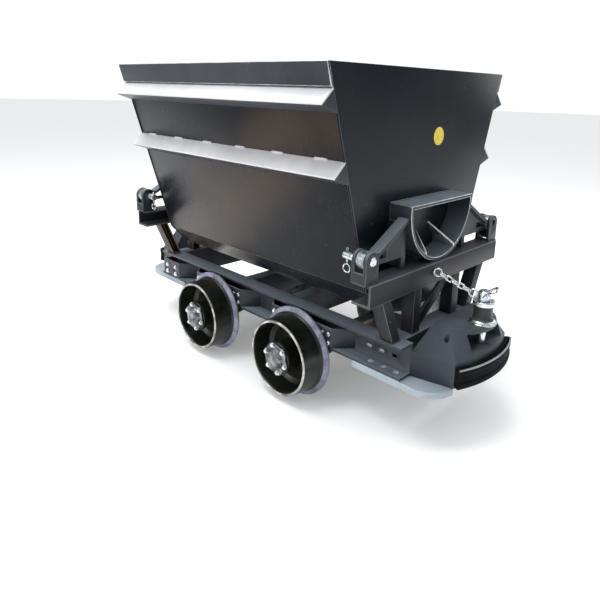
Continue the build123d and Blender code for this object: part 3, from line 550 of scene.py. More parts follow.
def lathed(
    name, profile, centre, axis, bend, finishes, steps=72, closed=True, pick=None, lobe=None
):
    """Profile of (radius, distance along the axis) points, turned about the axis."""
    outline = [(max(p.x, 0.0), p.y) for p in rounded(
        [(r, a) for r, a in profile], bend, steps=3, closed=closed
    )]
    axis = Vector(axis).normalized()
    side = axis.orthogonal().normalized()
    other = axis.cross(side)
    work = bmesh.new()
    rings = []
    for radius, along in outline:
        if radius < 1e-6:
            rings.append([work.verts.new(Vector(centre) + axis * along)] * steps)
            continue
        ring = []
        for number in range(steps):
            angle = 2 * math.pi * number / steps
            reach = radius + (lobe(radius, along, angle) if lobe else 0)
            out = (side * math.cos(angle) + other * math.sin(angle)) * reach
            ring.append(work.verts.new(Vector(centre) + axis * along + out))
        rings.append(ring)
    pairs = list(zip(rings, rings[1:] + rings[:1])) if closed else list(zip(rings, rings[1:]))
    for (first, second), (here, there) in zip(pairs, zip(outline, outline[1:] + outline[:1])):
        for number in range(steps):
            after = (number + 1) % steps
            corners = [first[number], first[after], second[after], second[number]]
            corners = [c for index, c in enumerate(corners) if c not in corners[:index]]
            if len(corners) < 3:
                continue
            face = work.faces.new(corners)
            face.smooth = True
            if pick:
                face.material_index = pick((here[0] + there[0]) / 2, (here[1] + there[1]) / 2)
    bmesh.ops.recalc_face_normals(work, faces=work.faces)
    piece = shaped(name, work, *finishes)
    piece.data.set_sharp_from_angle(angle=math.radians(40))
    return piece


disc_yellow, yellow_surface, yellow_place = new_finish("disc_yellow", Roughness=0.4)
scuff = noise(yellow_place, 120, 4)
yellow_colour = scuff.step(0.35, 0.65).blend((0.78, 0.58, 0.03), (0.9, 0.74, 0.08))
connect(yellow_surface, Base_Color=yellow_colour, Roughness=0.3 + 0.2 * scuff)
disc_low, disc_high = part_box("marker_disc")
disc_middle = (disc_low + disc_high) / 2
disc_middle.x = disc_low.x
disc_radius = (disc_high.y - disc_low.y) / 2
disc_depth = disc_high.x - disc_low.x
disc_profile = [
    (0, 0),
    (disc_radius, 0),
    (disc_radius, disc_depth),
    (disc_radius * 0.86, disc_depth * 0.7),
    (0, disc_depth * 0.9),
]
disc = lathed(
    "marker_disc_plate", disc_profile, disc_middle, (1, 0, 0), 0.0005, [disc_yellow], closed=False
)
stand_for(disc, "marker_disc")


# ---- Rockers ------------------------------------------------------------------------------
# Bent 12 mm plate closed by a flat bar on top, welded to each end plate.  The tub rolls on the
# round part when it tips; two ribs inside carry the load back to the end plate.
def plate_ring(name, outer, inner, x_from, x_to, finishes):
    """Closed band between two outlines in (y, z), from one x to another."""
    work = bmesh.new()
    rows = ((x, line) for x in (x_from, x_to) for line in (outer, inner))
    back_out, back_in, front_out, front_in = (
        [work.verts.new((x, y, z)) for y, z in line] for x, line in rows
    )
    round_section = (back_out, front_out, front_in, back_in, back_out)
    for first, second in zip(round_section, round_section[1:]):
        for index in range(len(outer)):
            after = (index + 1) % len(outer)
            work.faces.new((first[index], first[after], second[after], second[index]))
    bmesh.ops.recalc_face_normals(work, faces=work.faces)
    piece = shaped(name, work, *finishes)
    piece.data.shade_smooth()
    return piece


def half_round(radius, centre_z):
    """Points (y, z) of the lower half of a circle."""
    arc = [math.pi + math.pi * number / arc_steps for number in range(arc_steps + 1)]
    return [(radius * math.cos(angle), centre_z + radius * math.sin(angle)) for angle in arc]


rocker_enamel = enamel(
    "rocker_enamel", (0.026, 0.034, 0.041), (0.045, 0.055, 0.065), gloss=0.34, dust_and_top_light=1.3
)
bright_edge = bare_steel("bright_edge", (0.55, 0.58, 0.6), (0.85, 0.88, 0.9), rough=0.34, grain=50)
rocker_shell = 0.012
arc_steps = 48
for node in ("rocker_near", "rocker_far"):
    low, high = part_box(node)
    radius = high.y
    centre_z = low.z + radius
    outlines = []
    for reach, roof in ((radius, high.z), (radius - rocker_shell, high.z - rocker_shell)):
        outlines.append(half_round(reach, centre_z) + [(reach, roof), (-reach, roof)])
    finishes = [rocker_enamel, bright_edge]
    shell = plate_ring(node + "_shell", *outlines, low.x, high.x, finishes)
    stand_for(soften(shell, 0.0016, fold=30), node)
eased("rocker_gussets", 0.0018, bright_edge, bright_edge)
low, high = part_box("rocker_near")
weld_x = end_face + 0.002
ring_line = [(weld_x, y, z) for y, z in half_round(high.y, low.z + high.y)]
roof_line = [(weld_x, -high.y, high.z), (weld_x, high.y, high.z)]
rocker_welds = both_ends([ring_line, roof_line])
lay_beads("rocker_welds", rocker_welds, "tub", rocker_enamel, radius=0.0036)


# ---- Arms ---------------------------------------------------------------------------------
# Welded tee arms from the end plates out to the pinned noses: a plate web with a window and a
# flat bar on top.
nose_radius = 0.0305
pivot_y, pivot_z = (abs(value) for value in joint_of["tub_tip"]["pos_m"][1:])


def on_nose(spot):
    """Whether a spot lies on the round nose or in its bore."""
    return math.hypot(abs(spot.y) - pivot_y, spot.z - pivot_z) < nose_radius


arm_enamel = enamel(
    "arm_enamel", (0.013, 0.0195, 0.024), (0.027, 0.036, 0.042), gloss=0.36, dust_and_top_light=1.1
)
nose_steel = bare_steel(
    "nose_steel", (0.16, 0.18, 0.2), (0.5, 0.53, 0.56), rough=0.36, grain=40, metal=0.7
)
for node in ("arms_near", "arms_far"):
    eased(node, 0.0018, arm_enamel, worn_edge, bare=on_nose, bare_finish=nose_steel)


# ---- End stands ---------------------------------------------------------------------------
# Channel beam across each end on four channel legs, with welded clevis ears that hold the arm
# noses.  Their enamel is a little warmer and duller than the tub's.
stand_enamel = enamel(
    "stand_enamel",
    (0.012, 0.012, 0.015),
    (0.022, 0.022, 0.027),
    gloss=0.42,
    dust_and_top_light=0.42,
    wave=0.0004,
)
leg_enamel = enamel(
    "leg_enamel", (0.008, 0.009, 0.012), (0.017, 0.019, 0.023), gloss=0.42, dust_and_top_light=0.4, wave=0.0004
)
primer_edge = enamel(
    "primer_edge", (0.3, 0.17, 0.05), (0.5, 0.32, 0.11), gloss=0.45, dust_and_top_light=0.1, wave=0.0003
)
for end in ("near", "far"):
    eased("stand_beam_" + end, 0.003, stand_enamel, worn_edge)
    eased("stand_legs_" + end, 0.0018, leg_enamel, worn_edge if end == "near" else primer_edge)
    eased("clevises_" + end, 0.002, arm_enamel, worn_edge)
beam_low, beam_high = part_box("stand_beam_near")
ear_low, ear_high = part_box("clevises_near")
leg_low, leg_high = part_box("stand_legs_near")
ear_width = 0.064
leg_half = 0.0225
leg_tops, leg_feet = (0.318, 0.13), (0.245, 0.13)
stand_lines = []
for x in (ear_low.x, ear_high.x):
    for sign in (1, -1):
        edges = (ear_low.y, ear_low.y + ear_width)
        stand_lines.append([(x, sign * y, beam_high.z) for y in edges])
for middles, z in ((leg_tops, beam_low.z), (leg_feet, leg_low.z)):
    for middle in middles:
        for sign in (1, -1):
            edges = (middle - leg_half, middle + leg_half)
            stand_lines.append([(leg_high.x, sign * y, z) for y in edges])
stand_lines = both_ends(stand_lines)
lay_beads("stand_welds", stand_lines, "chassis", stand_enamel, radius=0.0034)


# ---- Sole bars and cross members ----------------------------------------------------------
# Two long channels with their flanges outwards, joined by welded box sections.  The top flanges are lighter than
# the webs in their shade, partly from dust and partly from painted light on their upward faces.
slot_x, slot_z = (0.565, 0.62, 0.675), 0.278
slot_half_length, slot_half_height = 0.0135, 0.0075
web_inside, web_outside = 0.2035, 0.2125
hole_shift, hole_y, hole_reach = 0.032, 0.2435, 0.0115
flange_top = 0.2405


def in_hole(spot):
    """Whether a spot lies on the wall of a slot in the web or of a hole in the flange."""
    if web_inside < abs(spot.y) < web_outside:
        along = min(abs(abs(spot.x) - x) for x in slot_x)
        return abs(spot.z - slot_z) < slot_half_height and along < slot_half_length
    across = abs(spot.y) - hole_y
    away = min(math.hypot(abs(spot.x) - x - hole_shift, across) for x in slot_x)
    return spot.z < flange_top and away < hole_reach


bar_enamel = enamel(
    "bar_enamel", (0.023, 0.027, 0.035), (0.046, 0.054, 0.067), gloss=0.36, dust_and_top_light=1.6, wave=0.0005
)
hole_steel = bare_steel(
    "hole_steel", (0.4, 0.42, 0.44), (0.8, 0.82, 0.84), rough=0.4, grain=60, metal=0.6
)
for node in ("sole_bar_left", "sole_bar_right", "end_members", "mid_members"):
    eased(node, 0.002, bar_enamel, worn_edge, bare=in_hole, bare_finish=hole_steel)
foot_enamel = enamel(
    "foot_enamel", (0.24, 0.285, 0.325), (0.42, 0.48, 0.53), gloss=0.34, dust_and_top_light=0.3, wave=0.0005
)
eased("foot_plates", 0.003, foot_enamel, bright_edge, bare=in_hole, bare_finish=hole_steel)
eased("hat_plates", 0.0022, bar_enamel, worn_edge)
eased("axle_pedestals", 0.003, bar_enamel, bar_enamel)
bar_low, bar_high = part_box("sole_bar_left")
foot_length = 0.205
foot_ends = (bar_high.x - foot_length, bar_high.x)
foot_line = [(x, bar_low.y - 0.001, bar_low.z) for x in foot_ends]
foot_lines = both_ends(both_sides([foot_line]))
lay_beads("foot_plate_welds", foot_lines, "chassis", foot_enamel, radius=0.0028)


# ---- Hat plate bolts ----------------------------------------------------------------------
# Zinc plated hexagon bolts on flat washers, which hold the bent plates over the wheels to the
# sole bars.  Each is turned to where the wrench left it.
def lifted(tree, shape, height):
    """A part of the bolt raised to a height."""
    rise = add_node(tree, "ShaderNodeCombineXYZ", {}, {"Z": height})
    return add_node(tree, "GeometryNodeTransform", {}, {0: shape, "Translation": rise})


def set_out(tree, shape, heading, axis, spin_axis, angle):
    """Copies of a shape on the points, each aimed along its heading and spun about an axis."""
    points = tree.nodes["Group Input"].outputs["Geometry"]
    kind = {"data_type": "FLOAT_VECTOR"}
    named = add_node(tree, "GeometryNodeInputNamedAttribute", kind, {"Name": heading})
    aimed = add_node(tree, "FunctionNodeAlignRotationToVector", {"axis": axis}, {"Vector": named})
    about = {"Axis": spin_axis, "Angle": angle}
    spun = add_node(tree, "FunctionNodeAxisAngleToRotation", {}, about)
    both = {"Rotation": aimed, "Rotate By": spun}
    turned = add_node(tree, "FunctionNodeRotateRotation", {"rotation_space": "LOCAL"}, both)
    copies = {"Points": points, "Instance": shape, "Rotation": turned}
    return add_node(tree, "GeometryNodeInstanceOnPoints", {}, copies)


bolt_inputs = {"Head Radius": "Float", "Head": "Float", "Finish": "Material"}
bolt_tree, given = new_tree("hexagon_bolts", bolt_inputs)
head_radius, head_height = given["Head Radius"], given["Head"]
washer_thickness = 0.0014
round_plate = {
    "Vertices": 20,
    "Depth": washer_thickness,
    "Radius": scaled(bolt_tree, head_radius, 1.3),
}
washer = add_node(bolt_tree, "GeometryNodeMeshCylinder", {}, round_plate)
six_sides = {"Vertices": 6, "Radius": head_radius, "Depth": head_height}
hexagon = add_node(bolt_tree, "GeometryNodeMeshCylinder", {}, six_sides)
dome = {
    "Vertices": 12,
    "Radius Top": scaled(bolt_tree, head_radius, 0.84),
    "Radius Bottom": head_radius,
    "Depth": scaled(bolt_tree, head_height, 0.2),
}
cap = add_node(bolt_tree, "GeometryNodeMeshCone", {}, dome)
hexagon = lifted(bolt_tree, hexagon, scaled(bolt_tree, head_height, 0.5))
cap = lifted(bolt_tree, cap, scaled(bolt_tree, head_height, 0.96))
whole = bolt_tree.nodes.new("GeometryNodeJoinGeometry")
for part in (washer, hexagon, cap):
    bolt_tree.links.new(part.outputs[0], whole.inputs[0])
sixth_turn = {"Seed": 7, 3: 1.05}
spin = add_node(bolt_tree, "FunctionNodeRandomValue", {"data_type": "FLOAT"}, sixth_turn)
bolts = set_out(bolt_tree, whole, "facing", "Z", (0, 0, 1), spin.outputs[1])
close_tree(bolt_tree, bolts, given["Finish"], smooth=False)


def set_heads(name, places, finish, radius, head):
    """Bolt heads at (point, outward direction) places, as one piece."""
    work = bmesh.new()
    for place, _ in places:
        work.verts.new(place)
    piece = shaped(name, work, finish)
    facing_of = piece.data.attributes.new("facing", "FLOAT_VECTOR", "POINT")
    for item, (_, direction) in zip(facing_of.data, places):
        item.vector = direction
    return grown(piece, bolt_tree, Head_Radius=radius, Head=head, Finish=finish)


bolt_zinc = bare_steel("bolt_zinc", (0.6, 0.63, 0.66), (0.9, 0.92, 0.95), rough=0.25, grain=90)
wheel_low, wheel_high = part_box("wheel_near_left")
wheel_x = (wheel_low.x + wheel_high.x) / 2
hat_low, hat_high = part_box("hat_plates")
bolt_rows = (0.255, 0.29)
beside_wheel = (-0.15, -0.118, 0.118, 0.15)
from_bar_end = (0.049, 0.121)
hat_places = []
for centre_x in (wheel_x, -wheel_x):
    for offset in beside_wheel:
        for z in bolt_rows:
            for y in (hat_low.y, hat_high.y):
                hat_places.append(((centre_x + offset, y, z), (0, math.copysign(1, y), 0)))
for offset in from_bar_end:
    for z in bolt_rows:
        hat_places.append(((offset - bar_high.x, hat_low.y, z), (0, -1, 0)))
        hat_places.append(((bar_high.x - offset, hat_high.y, z), (0, 1, 0)))
hat_bolts = set_heads("hat_plate_bolts", hat_places, bolt_zinc, radius=0.008, head=0.005)
stand_for(hat_bolts, "hat_bolts")


# ---- Wheels -------------------------------------------------------------------------------
# Cast iron wheels with one flange and a deep dish, dipped in black gloss paint.  The flange tip and the rim's
# outer edge are bare, rubbed by rails and points; the flange tip's pale lavender colour is also a painted sheen of
# the sky.
wheel_black, black_surface, black_place = new_finish("wheel_black", Specular_IOR_Level=0.42)
casting = noise(black_place, 24, 4)
grit = noise(black_place, 260, 2)
oil = noise(black_place, 6, 3).step(0.45, 0.65)
black_colour = casting.step(0.3, 0.7).blend((0.004, 0.0046, 0.0042), (0.012, 0.0138, 0.0092))
connect(black_surface, Base_Color=(oil * 0.5).blend(black_colour, (0.02, 0.023, 0.012)))
connect(black_surface, Roughness=0.16 + 0.22 * casting + 0.08 * grit)
black_relief = (casting * 0.0016 + grit * 0.00012).bump(0.7)
connect(black_surface, Normal=black_relief)
# Rubbed flange steel, its pale lavender colour partly a painted sheen of the sky.
flange_steel = bare_steel(
    "flange_steel", (0.16, 0.16, 0.22), (0.36, 0.36, 0.47), rough=0.5, grain=22, metal=0.12
)
rim_steel = bare_steel("rim_steel", (0.16, 0.16, 0.15), (0.62, 0.62, 0.6), rough=0.34, grain=26)
rim_out = max(abs(wheel_low.y), abs(wheel_high.y))
tip = (wheel_high.z - wheel_low.z) / 2
tread = 0.15
dish = tread - 0.014
hub_reach, web_reach = 0.282, 0.290
flange_in, flange_out = 0.286, 0.302
bore, seat, land, hub = 0.031, 0.042, 0.037, 0.066
wheel_profile = [
    (bore, hub_reach),
    (0.056, hub_reach),
    (0.058, 0.300),
    (dish - 0.004, web_reach),
    (dish, flange_in),
    (tip - 0.012, flange_in),
    (tip, flange_in + 0.005),
    (tip, flange_out - 0.003),
    (tip - 0.009, flange_out + 0.002),
    (tread + 0.011, flange_out + 0.005),
    (tread + 0.003, flange_out + 0.014),
    (tread, rim_out - 0.004),
    (tread - 0.004, rim_out),
    (dish + 0.003, rim_out),
    (dish, rim_out - 0.008),
    (dish - 0.006, 0.322),
    (dish - 0.022, 0.308),
    (0.078, 0.316),
    (0.060, 0.326),
    (0.056, 0.372),
    (hub, 0.380),
    (hub, rim_out),
    (seat, rim_out),
    (seat, 0.36),
    (land, 0.36),
    (land, 0.32),
    (seat, 0.32),
    (seat, 0.298),
    (bore, 0.298),
]


def wheel_finish(radius, along):
    """Which finish a spot of the wheel has: paint, the flange's rubbed steel with its painted sky sheen, or the
    rim's steel.
    """
    if radius > tread + 0.010 and along > flange_in + 0.002:
        return 1
    return 2 if radius > dish + 0.003 and along > rim_out - 0.003 else 0


def wheel_middle(corner):
    """Where a wheel's axis crosses the middle plane of the cart."""
    low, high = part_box("wheel_" + corner)
    return (low.x + high.x) / 2, 0, (low.z + high.z) / 2


def wheel_facing(corner):
    """Direction in which the dish of a wheel opens, away from the cart."""
    return Vector((0, -1 if "left" in corner else 1, 0))


cart_corners = ("near_left", "near_right", "far_left", "far_right")
for corner in cart_corners:
    finishes = [wheel_black, flange_steel, rim_steel]
    wheel = lathed(
        "wheel_casting_" + corner,
        wheel_profile,
        wheel_middle(corner),
        wheel_facing(corner),
        0.004,
        finishes,
        steps=96,
        pick=wheel_finish,
    )
    stand_for(wheel, "wheel_" + corner)


# ---- Hub covers ---------------------------------------------------------------------------
# Bright cast covers over the axle ends, with a lobe round each of six bolts and a domed middle
# that keeps the grease in.
lobes = 6
lobe_depth = 0.0045
bolt_circle = 0.054
flange_face = rim_out + 0.008


def scallop(radius, along, angle):
    """Lobes round the bolts, on the outer edge only."""
    return lobe_depth * (math.cos(lobes * angle) - 1) if radius > 0.05 else 0


cover_alloy = bare_steel(
    "cover_alloy", (0.024, 0.026, 0.03), (0.32, 0.325, 0.34), rough=0.22, grain=24
)
for corner in cart_corners:
    cover_node = "hub_cover_" + corner
    peak = max(abs(end.y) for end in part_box(cover_node))
    cover_profile = [
        (0, peak),
        (0.018, peak - 0.001),
        (0.033, peak - 0.005),
        (0.041, peak - 0.013),
        (0.043, flange_face),
        (hub, flange_face),
        (hub, rim_out),
        (0.036, rim_out),
        (0.036, peak - 0.012),
        (0, peak - 0.008),
    ]
    axis = wheel_facing(corner)
    centre = wheel_middle(corner)
    cover = lathed(
        "hub_casting_" + corner,
        cover_profile,
        centre,
        axis,
        0.003,
        [cover_alloy],
        closed=False,
        lobe=scallop,
    )
    stand_for(cover, cover_node)
    first = axis.orthogonal().normalized()
    second = axis.cross(first)
    places = []
    for index in range(lobes):
        angle = 2 * math.pi * index / lobes
        reach = (first * math.cos(angle) + second * math.sin(angle)) * bolt_circle
        places.append((Vector(centre) + reach + axis * flange_face, axis))
    heads = set_heads("hub_bolts_" + corner, places, bolt_zinc, radius=0.0075, head=0.006)
    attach(heads, body_of[cover_node])


# ---- Axles, bearings and nuts -------------------------------------------------------------
# Turned steel axles that run through the pedestals into the hubs, oily and brown where they
# show, with ground ball bearings and nuts on their ends.
def refinish(node, finish):
    """Give a node of the frame its finish, with its shape as it is."""
    for material_slot in frame["nodes"][node].material_slots:
        material_slot.material = finish


axle_steel = bare_steel("axle_steel", (0.1, 0.09, 0.08), (0.2, 0.185, 0.17), rough=0.36, grain=30)
bearing_steel = bare_steel(
    "bearing_steel", (0.45, 0.45, 0.46), (0.7, 0.7, 0.71), rough=0.2, grain=80
)
for node in ("axle_near", "axle_far"):
    refinish(node, axle_steel)
for node in ("axle_nuts", *("bearings_" + corner for corner in cart_corners)):
    refinish(node, bearing_steel)


# ---- Drawheads ----------------------------------------------------------------------------
# Cast hoods at both ends, welded between the sole bars, with a coupling mouth in front.  Their
# enamel lies over a sandy casting skin.
head_enamel, head_surface, head_place = new_finish("head_enamel", Specular_IOR_Level=0.3)
skin = noise(head_place, 130, 3)
patch = noise(head_place, 7, 4)
head_up = head_place.node("ShaderNodeNewGeometry", {}, {}, "Normal").part(2)
# Lighter on upward faces: partly settled dust, partly painted light from above.
head_dust_and_top_light = head_up.step(0.1, 0.9) * (0.3 + 0.7 * patch) * 0.1
head_colour = patch.step(0.3, 0.7).blend((0.034, 0.042, 0.052), (0.056, 0.068, 0.082))
connect(head_surface, Base_Color=head_dust_and_top_light.blend(head_colour, (0.12, 0.145, 0.165)))
connect(head_surface, Roughness=0.42 + 0.15 * skin + 0.1 * head_dust_and_top_light)
connect(head_surface, Normal=(skin * 0.0007).bump(0.6))
# Lighter enamel on the drawheads' broken corners: a painted highlight along their edges.
lip_edge = enamel(
    "lip_edge", (0.1, 0.115, 0.13), (0.24, 0.265, 0.29), gloss=0.36, dust_and_top_light=0.4, wave=0.0003
)
for end in ("near", "far"):
    eased("drawhead_" + end, 0.0035, head_enamel, lip_edge, fold=25)


# ---- Buffer pads --------------------------------------------------------------------------
# Moulded rubber blocks bent round the front of each drawhead, with rounded edges, a shallow channel along the face
# and a steel strip on top.  The strip's paint is made lighter than its own colour to make up for the shade under
# the drawhead's lip: painted light.
def bent_block(name, middle_x, bend_radius, outline, sweep, finishes, steps=48):
    """Section of (distance out, height) points swept round an upright axis."""
    work = bmesh.new()
    rows = []
    for number in range(steps + 1):
        angle = -sweep + 2 * sweep * number / steps
        row = []
        for out, z in outline:
            reach = bend_radius + out
            place = (middle_x + reach * math.cos(angle), reach * math.sin(angle), z)
            row.append(work.verts.new(place))
        rows.append(row)
    for first, second in zip(rows, rows[1:]):
        for index in range(len(outline)):
            after = (index + 1) % len(outline)
            face = work.faces.new((first[index], first[after], second[after], second[index]))
            face.smooth = True
    work.faces.new(rows[0])
    work.faces.new(rows[-1])
    bmesh.ops.recalc_face_normals(work, faces=work.faces)
    piece = shaped(name, work, *finishes)
    piece.data.set_sharp_from_angle(angle=math.radians(45))
    return piece


rubber, rubber_surface, rubber_place = new_finish("buffer_rubber", Specular_IOR_Level=0.05)
bloom = noise(rubber_place, 14, 5)
pores = noise(rubber_place, 240, 2)
rubber_colour = bloom.step(0.3, 0.7).blend((0.003, 0.0035, 0.0045), (0.009, 0.0098, 0.0112))
connect(rubber_surface, Base_Color=rubber_colour, Roughness=0.55 + 0.2 * bloom)
connect(rubber_surface, Normal=(pores * 0.0003).bump(0.6))
pad_low, pad_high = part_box("buffer_pad_near")
head_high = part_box("drawhead_near")[1]
sagitta = 0.036
corner_y = 0.179
front_radius = (corner_y**2 + sagitta**2) / (2 * sagitta)
front_middle = head_high.x - front_radius
pad_depth = pad_high.x - head_high.x
pad_sweep = math.asin(pad_high.y / (front_radius + pad_depth))
pad_middle = (pad_low.z + pad_high.z) / 2
groove = 0.003
pad_outline = [
    (0, pad_low.z),
    (pad_depth, pad_low.z),
    (pad_depth, pad_middle - 0.016),
    (pad_depth - groove, pad_middle - 0.012),
    (pad_depth - groove, pad_middle + 0.012),
    (pad_depth, pad_middle + 0.016),
    (pad_depth, pad_high.z),
    (0, pad_high.z),
]
pad_section = [(p.x, p.y) for p in rounded(pad_outline, 0.005, steps=3, closed=True)]
strip_out, strip_top = pad_depth - 0.0001, pad_high.z
strip_width, strip_height = 0.0115, 0.0065
strip_section = [
    (strip_out - strip_width, strip_top),
    (strip_out, strip_top),
    (strip_out, strip_top - strip_height),
    (strip_out - strip_width, strip_top - strip_height),
]
# Lighter than the strip's own colour, to make up for the shade under the drawhead's lip: painted light.
strip_enamel = enamel(
    "strip_enamel", (0.19, 0.22, 0.25), (0.34, 0.38, 0.42), gloss=0.4, dust_and_top_light=0.5, wave=0.0002
)
for end in ("near", "far"):
    bend = (front_middle, front_radius)
    pad = bent_block("buffer_block_" + end, *bend, pad_section, pad_sweep, [rubber])
    strip = bent_block("buffer_strip_" + end, *bend, strip_section, pad_sweep, [strip_enamel])
    if end == "far":
        for piece in (pad, strip):
            piece.data.transform(Matrix.Rotation(math.pi, 4, "Z"))
    stand_for(pad, "buffer_pad_" + end)
    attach(strip, "chassis")


# ---- Pin collars --------------------------------------------------------------------------
# Turned spools welded on the drawhead roofs, which guide the coupling pins.  The foot flange
# and the lip are bright; the waist is painted.
roof_z = head_high.z
collar_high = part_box("pin_collars")[1]
foot_radius, lip_radius, pin_bore = 0.044, 0.038, 0.0173
pin_x = collar_high.x - foot_radius
collar_profile = [
    (pin_bore, roof_z),
    (foot_radius, roof_z),
    (foot_radius, roof_z + 0.009),
    (0.038, roof_z + 0.012),
    (0.033, roof_z + 0.020),
    (0.031, roof_z + 0.038),
    (0.033, roof_z + 0.058),
    (lip_radius, roof_z + 0.063),
    (lip_radius, collar_high.z),
    (pin_bore, collar_high.z),
]


def plated(radius, along):
    """Bright foot flange and lip, painted waist."""
    return 1 if along < roof_z + 0.012 or along > roof_z + 0.064 else 0


def joined(name, *parts):
    """One piece from several, each keeping its own finish."""
    work = bmesh.new()
    finishes = []
    for part in parts:
        start = len(work.faces)
        work.from_mesh(part.data)
        work.faces.ensure_lookup_table()
        for face in work.faces[start:]:
            finish = part.data.materials[face.material_index]
            if finish not in finishes:
                finishes.append(finish)
            face.material_index = finishes.index(finish)
        bpy.data.objects.remove(part)
    piece = shaped(name, work, *finishes)
    piece.data.set_sharp_from_angle(angle=math.radians(40))
    return piece


collar_paint = enamel(
    "collar_paint", (0.02, 0.026, 0.024), (0.04, 0.05, 0.047), gloss=0.3, dust_and_top_light=0.3, wave=0.0006
)
collar_zinc = bare_steel("collar_zinc", (0.45, 0.49, 0.5), (0.85, 0.9, 0.92), rough=0.26, grain=50)
collars = []
for end, x in (("near", pin_x), ("far", -pin_x)):
    finishes = [collar_paint, collar_zinc]
    middle = (x, 0, 0)
    collar = lathed(
        "collar_" + end, collar_profile, middle, (0, 0, 1), 0.0035, finishes, steps=64, pick=plated
    )
    collars.append(collar)
stand_for(joined("collars", *collars), "pin_collars")
ring_steps = 40
weld_reach = foot_radius + 0.0015
ring_angles = [2 * math.pi * step / ring_steps for step in range(ring_steps + 1)]
weld_ring = [
    (pin_x + weld_reach * math.cos(angle), weld_reach * math.sin(angle), roof_z + 0.001)
    for angle in ring_angles
]
weld_rings = both_ends([weld_ring])
lay_beads(
    "collar_welds",
    weld_rings,
    "chassis",
    collar_zinc,
    radius=0.0034,
    pool_length=0.009,
)


# ---- Coupling pins ------------------------------------------------------------------------
# Turned steel pins with a head and a forged eye for the chain, all zinc plated.
upright = Vector((0, 0, 1))
neck = collar_high.z + 0.0003
pin_radius, pin_head = 0.017, 0.022
pin_eye, eye_wire = 0.014, 0.0035


def wire(name, paths, radius, finish):
    """Round wire along each (path, closed) pair, as one mesh."""
    curve = bpy.data.curves.new(name, "CURVE")
    curve.dimensions = "3D"
    curve.bevel_depth = radius
    curve.bevel_resolution = 4
    curve.use_fill_caps = True
    for path, closed in paths:
        spline = curve.splines.new("POLY")
        spline.points.add(len(path) - 1)
        for point, place in zip(spline.points, path):
            point.co = (*place, 1)
        spline.use_cyclic_u = closed
    curve.materials.append(finish)
    holder = bpy.data.objects.new(name, curve)
    bpy.context.collection.objects.link(holder)
    piece = settled(holder)
    piece.data.shade_smooth()
    return piece


def hoop(centre, first, second, radius, steps=36):
    """Circle of points in the plane of two unit directions."""
    angles = [2 * math.pi * number / steps for number in range(steps)]
    return [Vector(centre) + (first * math.cos(a) + second * math.sin(a)) * radius for a in angles]


def pin_foot(end):
    """Where a coupling pin's axis meets the ground."""
    return Vector((pin_x if end == "near" else -pin_x, 0, 0))


def off_chain(end):
    """Level direction at a coupling pin that leads away from its chain."""
    return Vector(joint_of[end + "_bail_swing"]["axis"]).normalized().cross(upright) * -1


def eye_middle(end):
    """Middle of the forged eye that a coupling pin's head has for the chain."""
    reach = pin_head + pin_eye + eye_wire - 0.001
    return pin_foot(end) + off_chain(end) * -reach + upright * (neck + pin_eye + eye_wire + 0.0003)


pin_zinc = bare_steel("pin_zinc", (0.32, 0.36, 0.4), (0.85, 0.9, 0.93), rough=0.2, grain=60)
for end in ("near", "far"):
    node = "coupling_pin_" + end
    low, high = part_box(node)
    pin_profile = [
        (0, low.z),
        (0.012, low.z),
        (pin_radius, low.z + 0.008),
        (pin_radius, neck),
        (pin_head, neck),
        (pin_head, high.z - 0.006),
        (0.017, high.z - 0.001),
        (0, high.z),
    ]
    shank = lathed(
        "shank_" + end,
        pin_profile,
        pin_foot(end),
        upright,
        0.002,
        [pin_zinc],
        steps=40,
        closed=False,
    )
    eye_hoop = hoop(eye_middle(end), off_chain(end), upright, pin_eye)
    eye_loop = wire("eye_" + end, [(eye_hoop, True)], eye_wire, pin_zinc)
    stand_for(joined("coupling_pin_turned_" + end, shank, eye_loop), node)


# ---- Coupling pin handles -----------------------------------------------------------------
# Handles bent from zinc plated round bar, one on each coupling pin.  Their ends are joined by a stub through the
# pin, and they swing on it.
handle_wire, stub_wire = 0.0045, 0.0034
handle_half, handle_height = 0.028, 0.048
lean = math.radians(55)
for end in ("near", "far"):
    pivot = pin_foot(end)
    pivot.z = joint_of[end + "_bail_swing"]["pos_m"][2]
    outward = off_chain(end)
    half = upright.cross(outward) * handle_half
    inset = upright.cross(outward) * (handle_half - 0.004)
    out = (outward * math.sin(lean) + upright * math.cos(lean)) * handle_height
    path = [
        pivot - inset,
        pivot - half,
        pivot - half + out,
        pivot + half + out,
        pivot + half,
        pivot + inset,
    ]
    path = rounded(path, 0.017, steps=8)
    loop = wire("handle_loop_" + end, [(path, False)], handle_wire, pin_zinc)
    stub = wire("handle_stub_" + end, [([pivot - half, pivot + half], False)], stub_wire, pin_zinc)
    stand_for(joined("handle_" + end, loop, stub), "bail_" + end)


# ---- Chains -------------------------------------------------------------------------------
# Short zinc plated chains that keep the coupling pins from being lost: welded oval links, each
# turned a quarter from the one before.
link_inputs = {"Length": "Float", "Width": "Float", "Wire": "Float", "Finish": "Material"}
link_tree, given = new_tree("chain_links", link_inputs)
sides = {"Width": given["Length"], "Height": given["Width"]}
oblong = add_node(link_tree, "GeometryNodeCurvePrimitiveQuadrilateral", {}, sides)
bend = {"Curve": oblong, "Count": 7, "Limit Radius": True}
bend["Radius"] = scaled(link_tree, given["Width"], 0.499)
oval = add_node(link_tree, "GeometryNodeFilletCurve", {"mode": "POLY"}, bend)
wire_round = {"Resolution": 10, "Radius": given["Wire"]}
section = add_node(link_tree, "GeometryNodeCurvePrimitiveCircle", {}, wire_round)
shape = {"Curve": oval, "Profile Curve": section}
link = add_node(link_tree, "GeometryNodeCurveToMesh", {}, shape)
number = {"data_type": "FLOAT"}
quarter = add_node(link_tree, "GeometryNodeInputNamedAttribute", number, {"Name": "quarter"})
